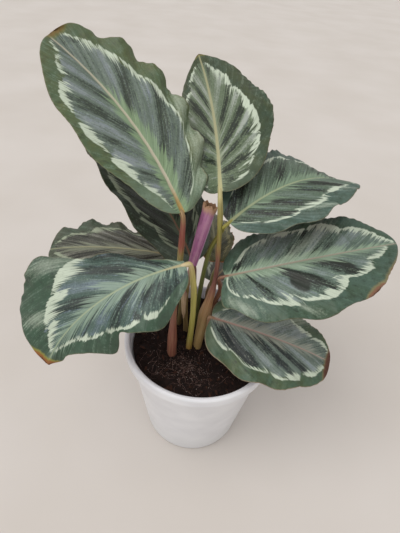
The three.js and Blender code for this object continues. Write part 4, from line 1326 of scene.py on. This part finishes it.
def rolled_stalk():
    share = np.linspace(0, 1, STALK_STEPS)[:, None]
    turn = ring_turns(STALK_SIDES)
    radius = evenly(ROLLED["stalk_radii"], share) * (1 + 0.03 * np.cos(5 * turn))
    stops = [(0.0, "#6a5638"), (0.2, "#85704a"), (0.7, "#8f8050"), (0.9, "#9a6f5c"), (1.0, "#8d5a72")]
    material = stalk_material("stalk_rolled_leaf", stops, seed=41.0, length=100.0)
    return stalk_tube("stalk_rolled_leaf", rolled_stalk_route(STALK_STEPS), radius, material)


# Pot

def wall_radius(z):
    return lerp(BASE_RADIUS, BODY_TOP_RADIUS, z / (POT_HEIGHT - RIM_BAND_HEIGHT))


def arc(centre, radius, start, end, steps):
    angles = np.radians(np.linspace(start, end, steps + 1))
    return [(centre[0] + radius * math.cos(t), centre[1] + radius * math.sin(t)) for t in angles]


def straight(start, end, steps):
    return [(lerp(start[0], end[0], t), lerp(start[1], end[1], t)) for t in np.linspace(0, 1, steps + 1)]


def pot_profile():
    band_bottom = POT_HEIGHT - RIM_BAND_HEIGHT
    lip = RIM_WALL / 2
    inside_top = (RIM_OUTER_RADIUS - RIM_WALL - 0.6, band_bottom + 3)
    inside_low = (wall_radius(band_bottom) - WALL, band_bottom - 3)
    inside_base = (wall_radius(FLOOR_THICKNESS + 2) - WALL, FLOOR_THICKNESS + 2)
    return [
        *straight((1.5, 1.0), (28, 1.0), 6),
        *straight((30, 0.9), (32, 0.0), 3),
        *straight((34, 0.0), (BASE_RADIUS - BASE_ROUNDING - 0.5, 0.0), 3),
        *arc((BASE_RADIUS - BASE_ROUNDING, BASE_ROUNDING), BASE_ROUNDING, -90, -8, 9),
        *straight((wall_radius(5), 5), (wall_radius(band_bottom - 3.4), band_bottom - 3.4), 24),
        (wall_radius(band_bottom - 2.4) + 0.1, band_bottom - 2.4),
        (wall_radius(band_bottom - 1.4) + 0.3, band_bottom - 1.2),
        (wall_radius(band_bottom) + 0.7, band_bottom - 0.4),
        *arc((RIM_OUTER_RADIUS - 1.4, band_bottom + 1.4), 1.4, -85, 0, 6),
        *straight((RIM_OUTER_RADIUS, band_bottom + 2), (RIM_OUTER_RADIUS, POT_HEIGHT - lip - 0.4), 5),
        *arc((RIM_OUTER_RADIUS - lip, POT_HEIGHT - lip), lip, 0, 175, 16),
        *straight(inside_top, inside_low, 4),
        *straight((inside_low[0] - 0.1, inside_low[1] - 1), inside_base, 20),
        *straight((inside_base[0] - 2, FLOOR_THICKNESS), (1.5, FLOOR_THICKNESS), 8),
    ]


def turned(name, profile, segments, material, slot, shape=None):
    """A closed body turned about the pot's axis. The profile starts and ends near the axis."""
    profile = np.array(profile)
    turn = ring_turns(segments)
    radius, height = profile[:, :1], profile[:, 1:]
    level = np.repeat(height, segments, axis=1)
    points = np.stack([radius * np.cos(turn), radius * np.sin(turn), level], axis=-1)
    if shape is not None:
        points = shape(points)
    poles = [[0, 0, points[end, :, 2].mean()] for end in (0, -1)]
    faces = closed_rings(len(profile), segments)
    return mesh_piece(name, np.vstack([points.reshape(-1, 3), poles]), faces, [material])


def pot_material():
    """Satin white plastic, a little translucent, with faint clouds and turning marks."""
    s = Surface("white_plastic")
    x, y, z = s.place()
    cloud = s.noise(x / 30.0, y / 30.0, z / 18.0)
    rings = s.noise(x / 300.0, y / 300.0, z / 1.1)
    speck = s.noise(x / 0.8, y / 0.8, z / 0.8, detail=1.0)
    colour = s.layers(
        "#e2e4ea",
        (cloud.smooth(-0.8, 0.8), "#f0f2f7"),
        (z.smooth(60.0, 0.0) * 0.6, "#d6d9dd"),
        (speck.smooth(1.05, 1.5) * 0.3, "#b3a99c"),
    )
    return s.finish(
        colour, 0.3 + cloud * 0.03, rings * 0.3 + speck * 0.1, relief=0.03,
        Subsurface_Weight=0.25, Subsurface_Radius=(4.0, 4.0, 4.0), Subsurface_Scale=1.0 * MM,
    )


def pot_piece():
    piece = turned("flower_pot", pot_profile(), POT_SEGMENTS, pot_material(), "pot_plastic")
    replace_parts(piece, "pot")


# Soil

def value_noise(x, y, seed):
    """Smooth noise from 0 to 1 on a plane, with features one unit apart."""
    table = np.random.default_rng(seed).random((64, 64))
    i, j = np.floor(x).astype(int), np.floor(y).astype(int)
    s, t = smooth_step(x - i, 0, 1), smooth_step(y - j, 0, 1)
    corner = [[table[(i + a) % 64, (j + b) % 64] for b in (0, 1)] for a in (0, 1)]
    return lerp(lerp(corner[0][0], corner[1][0], s), lerp(corner[0][1], corner[1][1], s), t)


def soil_relief(x, y):
    lumps = np.sin(x * 0.21 + 1.3) * np.cos(y * 0.17 - 0.6) + 0.6 * np.sin(x * 0.47 - y * 0.39)
    mound = 1.2 * np.exp(-(x * x + y * y) / 900)
    fine = 0.9 * (value_noise(x / 4.2, y / 4.2, 1) - 0.5) + 0.7 * (value_noise(x / 1.9, y / 1.9, 2) - 0.5)
    fine = fine + 0.4 * (value_noise(x / 0.9, y / 0.9, 3) - 0.5)
    return SOIL_RELIEF * (0.6 * lumps + mound) + fine


def soil_surface_radius():
    return wall_radius(SOIL_TOP - 4) - WALL - SOIL_GAP


def soil_height(x, y):
    """Uneven, and lower and smoother towards the pot's wall."""
    radius = np.hypot(x, y)
    edge = soil_surface_radius()
    share = radius / edge
    fade = smooth_step(edge - radius, 0, SOIL_EDGE_FADE)
    return SOIL_TOP - SOIL_EDGE_DROP * share ** 6 + fade * soil_relief(x, y)


def soil_material(name, dark, light, glint):
    """Rough and crumbly, from dark to light, with fine bright bits."""
    s = Surface(name)
    x, y, z = s.place()
    coarse = s.noise(x / 3.0, y / 3.0, z / 3.0, detail=3.0)
    fine = s.noise(x / 0.7, y / 0.7, z / 0.7, detail=3.0, roughness=0.7)
    colour = s.layers(dark, (coarse.smooth(-0.7, 0.8), light), (fine.smooth(0.6, 1.4) * 0.5, glint))
    return s.finish(colour, 0.85 + coarse * 0.06, fine, relief=0.4, Specular_IOR_Level=0.3)


def soil_piece():
    edge = soil_surface_radius()
    bottom = FLOOR_THICKNESS + 2 + SOIL_GAP
    low_radius = wall_radius(bottom) - WALL - SOIL_GAP
    shoulder = (wall_radius(SOIL_TOP - 8) - WALL - SOIL_GAP, SOIL_TOP - 8)
    profile = [
        *straight((2, bottom), (low_radius, bottom), 6),
        *straight((low_radius, bottom + 1), shoulder, 12),
        *straight((edge, SOIL_TOP - SOIL_EDGE_DROP), (1, SOIL_TOP), SOIL_RINGS),
    ]

    def shape(points):
        top = points[..., 2] > SOIL_TOP - 5
        height = soil_height(points[..., 0], points[..., 1])
        points[..., 2] = np.where(top, height, points[..., 2])
        return points

    material = soil_material("potting_soil", "#1a1110", "#2f1f1b", "#5a4038")
    piece = turned("potting_soil", profile, SOIL_SEGMENTS, material, "soil", shape)
    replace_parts(piece, "soil")


GOLDEN = (1 + 5 ** 0.5) / 2
ICOSAHEDRON = np.array(
    [(-1, GOLDEN, 0), (1, GOLDEN, 0), (-1, -GOLDEN, 0), (1, -GOLDEN, 0), (0, -1, GOLDEN), (0, 1, GOLDEN),
     (0, -1, -GOLDEN), (0, 1, -GOLDEN), (GOLDEN, 0, -1), (GOLDEN, 0, 1), (-GOLDEN, 0, -1), (-GOLDEN, 0, 1)]
) / math.hypot(1, GOLDEN)
ICOSAHEDRON_FACES = np.array(
    [(0, 11, 5), (0, 5, 1), (0, 1, 7), (0, 7, 10), (0, 10, 11), (1, 5, 9), (5, 11, 4), (11, 10, 2),
     (10, 7, 6), (7, 1, 8), (3, 9, 4), (3, 4, 2), (3, 2, 6), (3, 6, 8), (3, 8, 9), (4, 9, 5), (2, 4, 11),
     (6, 2, 10), (8, 6, 7), (9, 8, 1)]
)


def scattered_spots(chance, count):
    """Places all over the soil."""
    radius = (soil_surface_radius() - 1.5) * np.sqrt(chance.random(count))
    turn = chance.uniform(0, 2 * np.pi, count)
    return radius * np.cos(turn), radius * np.sin(turn)


def front_spots(chance, count):
    """Places of which most lie in front of the stalks, where loose bits show most."""
    x, y = scattered_spots(chance, count)
    near = chance.random(count) < FRONT_PATCH_SHARE
    close_x, close_y = (
        middle + chance.normal(0, spread, count) for middle, spread in zip(FRONT_PATCH, FRONT_PATCH_SPREAD)
    )
    return np.where(near, close_x, x), np.where(near, close_y, y)


def foot_spots(chance, count):
    """Places round the feet of the stalks."""
    feet = [(*leaf["stem"][0][:2], leaf["radii"][0]) for leaf in LEAVES]
    feet.append((*ROLLED["foot"][:2], ROLLED["stalk_radii"][0]))
    x, y, radius = np.array(feet)[chance.integers(0, len(feet), count)].T
    turn = chance.uniform(0, 2 * np.pi, count)
    reach = radius + chance.uniform(-0.2, 2.2, count)
    return x + reach * np.cos(turn), y + reach * np.sin(turn)


def random_turns(chance, count):
    """Rotation matrices, one for each grain."""
    q = chance.normal(size=(count, 4))
    w, x, y, z = (q / np.linalg.norm(q, axis=1, keepdims=True)).T
    rows = [
        [1 - 2 * (y * y + z * z), 2 * (x * y - w * z), 2 * (x * z + w * y)],
        [2 * (x * y + w * z), 1 - 2 * (x * x + z * z), 2 * (y * z - w * x)],
        [2 * (x * z - w * y), 2 * (y * z + w * x), 1 - 2 * (x * x + y * y)],
    ]
    return np.array(rows).transpose(2, 0, 1)


def grains(name, count, sizes, stretch, sink, colours, seed, spots=scattered_spots):
    """Many small uneven grains lying in the soil's surface, as one piece."""
    chance = np.random.default_rng(seed)
    x, y = spots(chance, count)
    size = np.exp(chance.uniform(np.log(sizes[0]), np.log(sizes[1]), count))
    corners = ICOSAHEDRON[None] * chance.uniform(0.7, 1.2, (count, len(ICOSAHEDRON), 1))
    corners = corners * (size[:, None] * np.array([stretch, 1.0, 0.75]) / 2)[:, None]
    corners = np.einsum("nij,nkj->nki", random_turns(chance, count), corners)
    centre = np.stack([x, y, soil_height(x, y) + size * (0.5 - sink)], axis=-1)
    points = (corners + centre[:, None]).reshape(-1, 3)
    faces = (ICOSAHEDRON_FACES[None] + len(ICOSAHEDRON) * np.arange(count)[:, None, None]).reshape(-1, 3)
    mesh_piece(name, points, faces, [soil_material(name, *colours)], smooth=False)


def fibres(name, count, colours, seed):
    """Thin curved root and peat fibres lying on the soil."""
    chance = np.random.default_rng(seed)
    starts = np.transpose(front_spots(chance, count))
    limit = soil_surface_radius() - 2
    points, faces = [], []
    for number, start in enumerate(starts):
        length = chance.uniform(*FIBRE_LENGTHS)
        heading = chance.uniform(0, 2 * np.pi) + np.cumsum(chance.normal(0, FIBRE_WANDER, FIBRE_STEPS))
        step = np.stack([np.cos(heading), np.sin(heading)])
        flat = start[:, None] + np.cumsum(step, axis=1) * length / FIBRE_STEPS
        flat = flat * np.minimum(1, limit / np.hypot(*flat))
        lift = FIBRE_LIFT + chance.uniform(0, 1.0) * np.sin(np.linspace(0, np.pi, FIBRE_STEPS))
        path = np.stack([*flat, soil_height(*flat) + lift], axis=-1)
        radius = chance.uniform(*FIBRE_RADII) * np.linspace(1, 0.4, FIBRE_STEPS)
        points.append(tube_points(path, np.repeat(radius[:, None], FIBRE_SIDES, axis=1)))
        index = np.arange(FIBRE_STEPS * FIBRE_SIDES).reshape(FIBRE_STEPS, FIBRE_SIDES)
        index = index + number * FIBRE_STEPS * FIBRE_SIDES
        faces.extend([round_walls(index), [index[0, ::-1], index[-1]]])
    mesh_piece(name, np.vstack(points), np.vstack(faces), [soil_material(name, *colours)])


# Loose bits on the soil: how many, the range of their sizes, how drawn out they are, how much of each is
# sunk in, their dark, middle and bright colours, the seed of their random draws, and where they lie
LOOSE_BITS = [
    dict(name="soil_crumbs", count=2600, sizes=(0.6, 2.4), stretch=1.3, sink=0.35, seed=11,
         colours=("#1b120e", "#33221a", "#5a4030")),
    dict(name="bark_bits", count=120, sizes=(1.2, 3.0), stretch=2.2, sink=0.3, seed=12,
         colours=("#3a2418", "#54362a", "#7a5a40")),
    dict(name="crumbs_at_stalks", count=620, sizes=(0.8, 2.2), stretch=1.2, sink=0.1, seed=15,
         colours=("#1b120e", "#3a2820", "#5a4030"), spots=foot_spots),
    dict(name="pale_specks", count=260, sizes=(0.4, 1.0), stretch=1.2, sink=0.1, seed=13,
         colours=("#8c7e78", "#b8aaa2", "#dcd2cc"), spots=front_spots),
]


# Studio

def studio_floor():
    size = FLOOR_HALF_SIZE
    points = [(-size, -size, 0), (size, -size, 0), (size, size, 0), (-size, size, 0)]
    mesh = bpy.data.meshes.new("studio_floor")
    mesh.from_pydata([Vector(p) * MM for p in points], [], [(0, 1, 2, 3)])
    s = Surface("studio_floor")
    x, y, _ = s.place()
    cloud = s.noise(x / 220.0, y / 220.0, 1.0, detail=3.0)
    colour = s.layers("#cfc9c3", (cloud.smooth(-1.0, 1.0), "#d8d3cf"))
    mesh.materials.append(s.finish(colour, 0.55 + cloud * 0.02))
    add_object("studio_floor", mesh)


def studio():
    """An even soft sky and a broad low sun, so that the floor is as bright everywhere."""
    studio_floor()
    sun = bpy.data.lights.new("key_light", "SUN")
    sun.energy = SUN_STRENGTH
    sun.angle = math.radians(SUN_ANGLE)
    sun.color = WARM_WHITE
    lamp = add_object("key_light", sun)
    lamp.rotation_euler = (-Vector(SUN_FROM)).to_track_quat("-Z", "Y").to_euler()
    world = bpy.data.worlds.new("studio_air")
    world.use_nodes = True
    background = world.node_tree.nodes["Background"]
    background.inputs["Color"].default_value = (*WARM_WHITE, 1.0)
    background.inputs["Strength"].default_value = AIR_STRENGTH
    bpy.context.scene.world = world
    bpy.context.scene.view_settings.view_transform = "Standard"


def photo_camera():
    yaw, pitch, roll = (math.radians(t) for t in (CAMERA_YAW, CAMERA_PITCH, CAMERA_ROLL))
    forward = Vector((math.sin(yaw) * math.cos(pitch), math.cos(yaw) * math.cos(pitch), -math.sin(pitch)))
    level_right = Vector((math.cos(yaw), -math.sin(yaw), 0))
    level_up = level_right.cross(forward)
    right = math.cos(roll) * level_right + math.sin(roll) * level_up
    up = -math.sin(roll) * level_right + math.cos(roll) * level_up
    turn = Matrix((right, up, -forward)).transposed()
    data = bpy.data.cameras.new("photo_camera")
    data.sensor_width = SENSOR
    data.lens = FOCAL_PIXELS / FRAME_HEIGHT * SENSOR
    data.clip_start = 0.01
    camera = add_object("photo_camera", data)
    camera.matrix_world = Matrix.Translation(CAMERA_PLACE) @ turn.to_4x4()
    bpy.context.scene.camera = camera


photo_camera()
studio()
pot_piece()
soil_piece()
for bits in LOOSE_BITS:
    grains(**bits)
fibres("soil_fibres", 240, ("#7c5c52", "#ac9086", "#d8c6bc"), 14)
for number, leaf in enumerate(LEAVES):
    blade_piece(leaf)
    petiole_piece(leaf, number)
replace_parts(rolled_leaf(), "rolled_leaf")
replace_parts(rolled_stalk(), "petiole_rolled_leaf")
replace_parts(dry_sheath(), "dry_sheath")
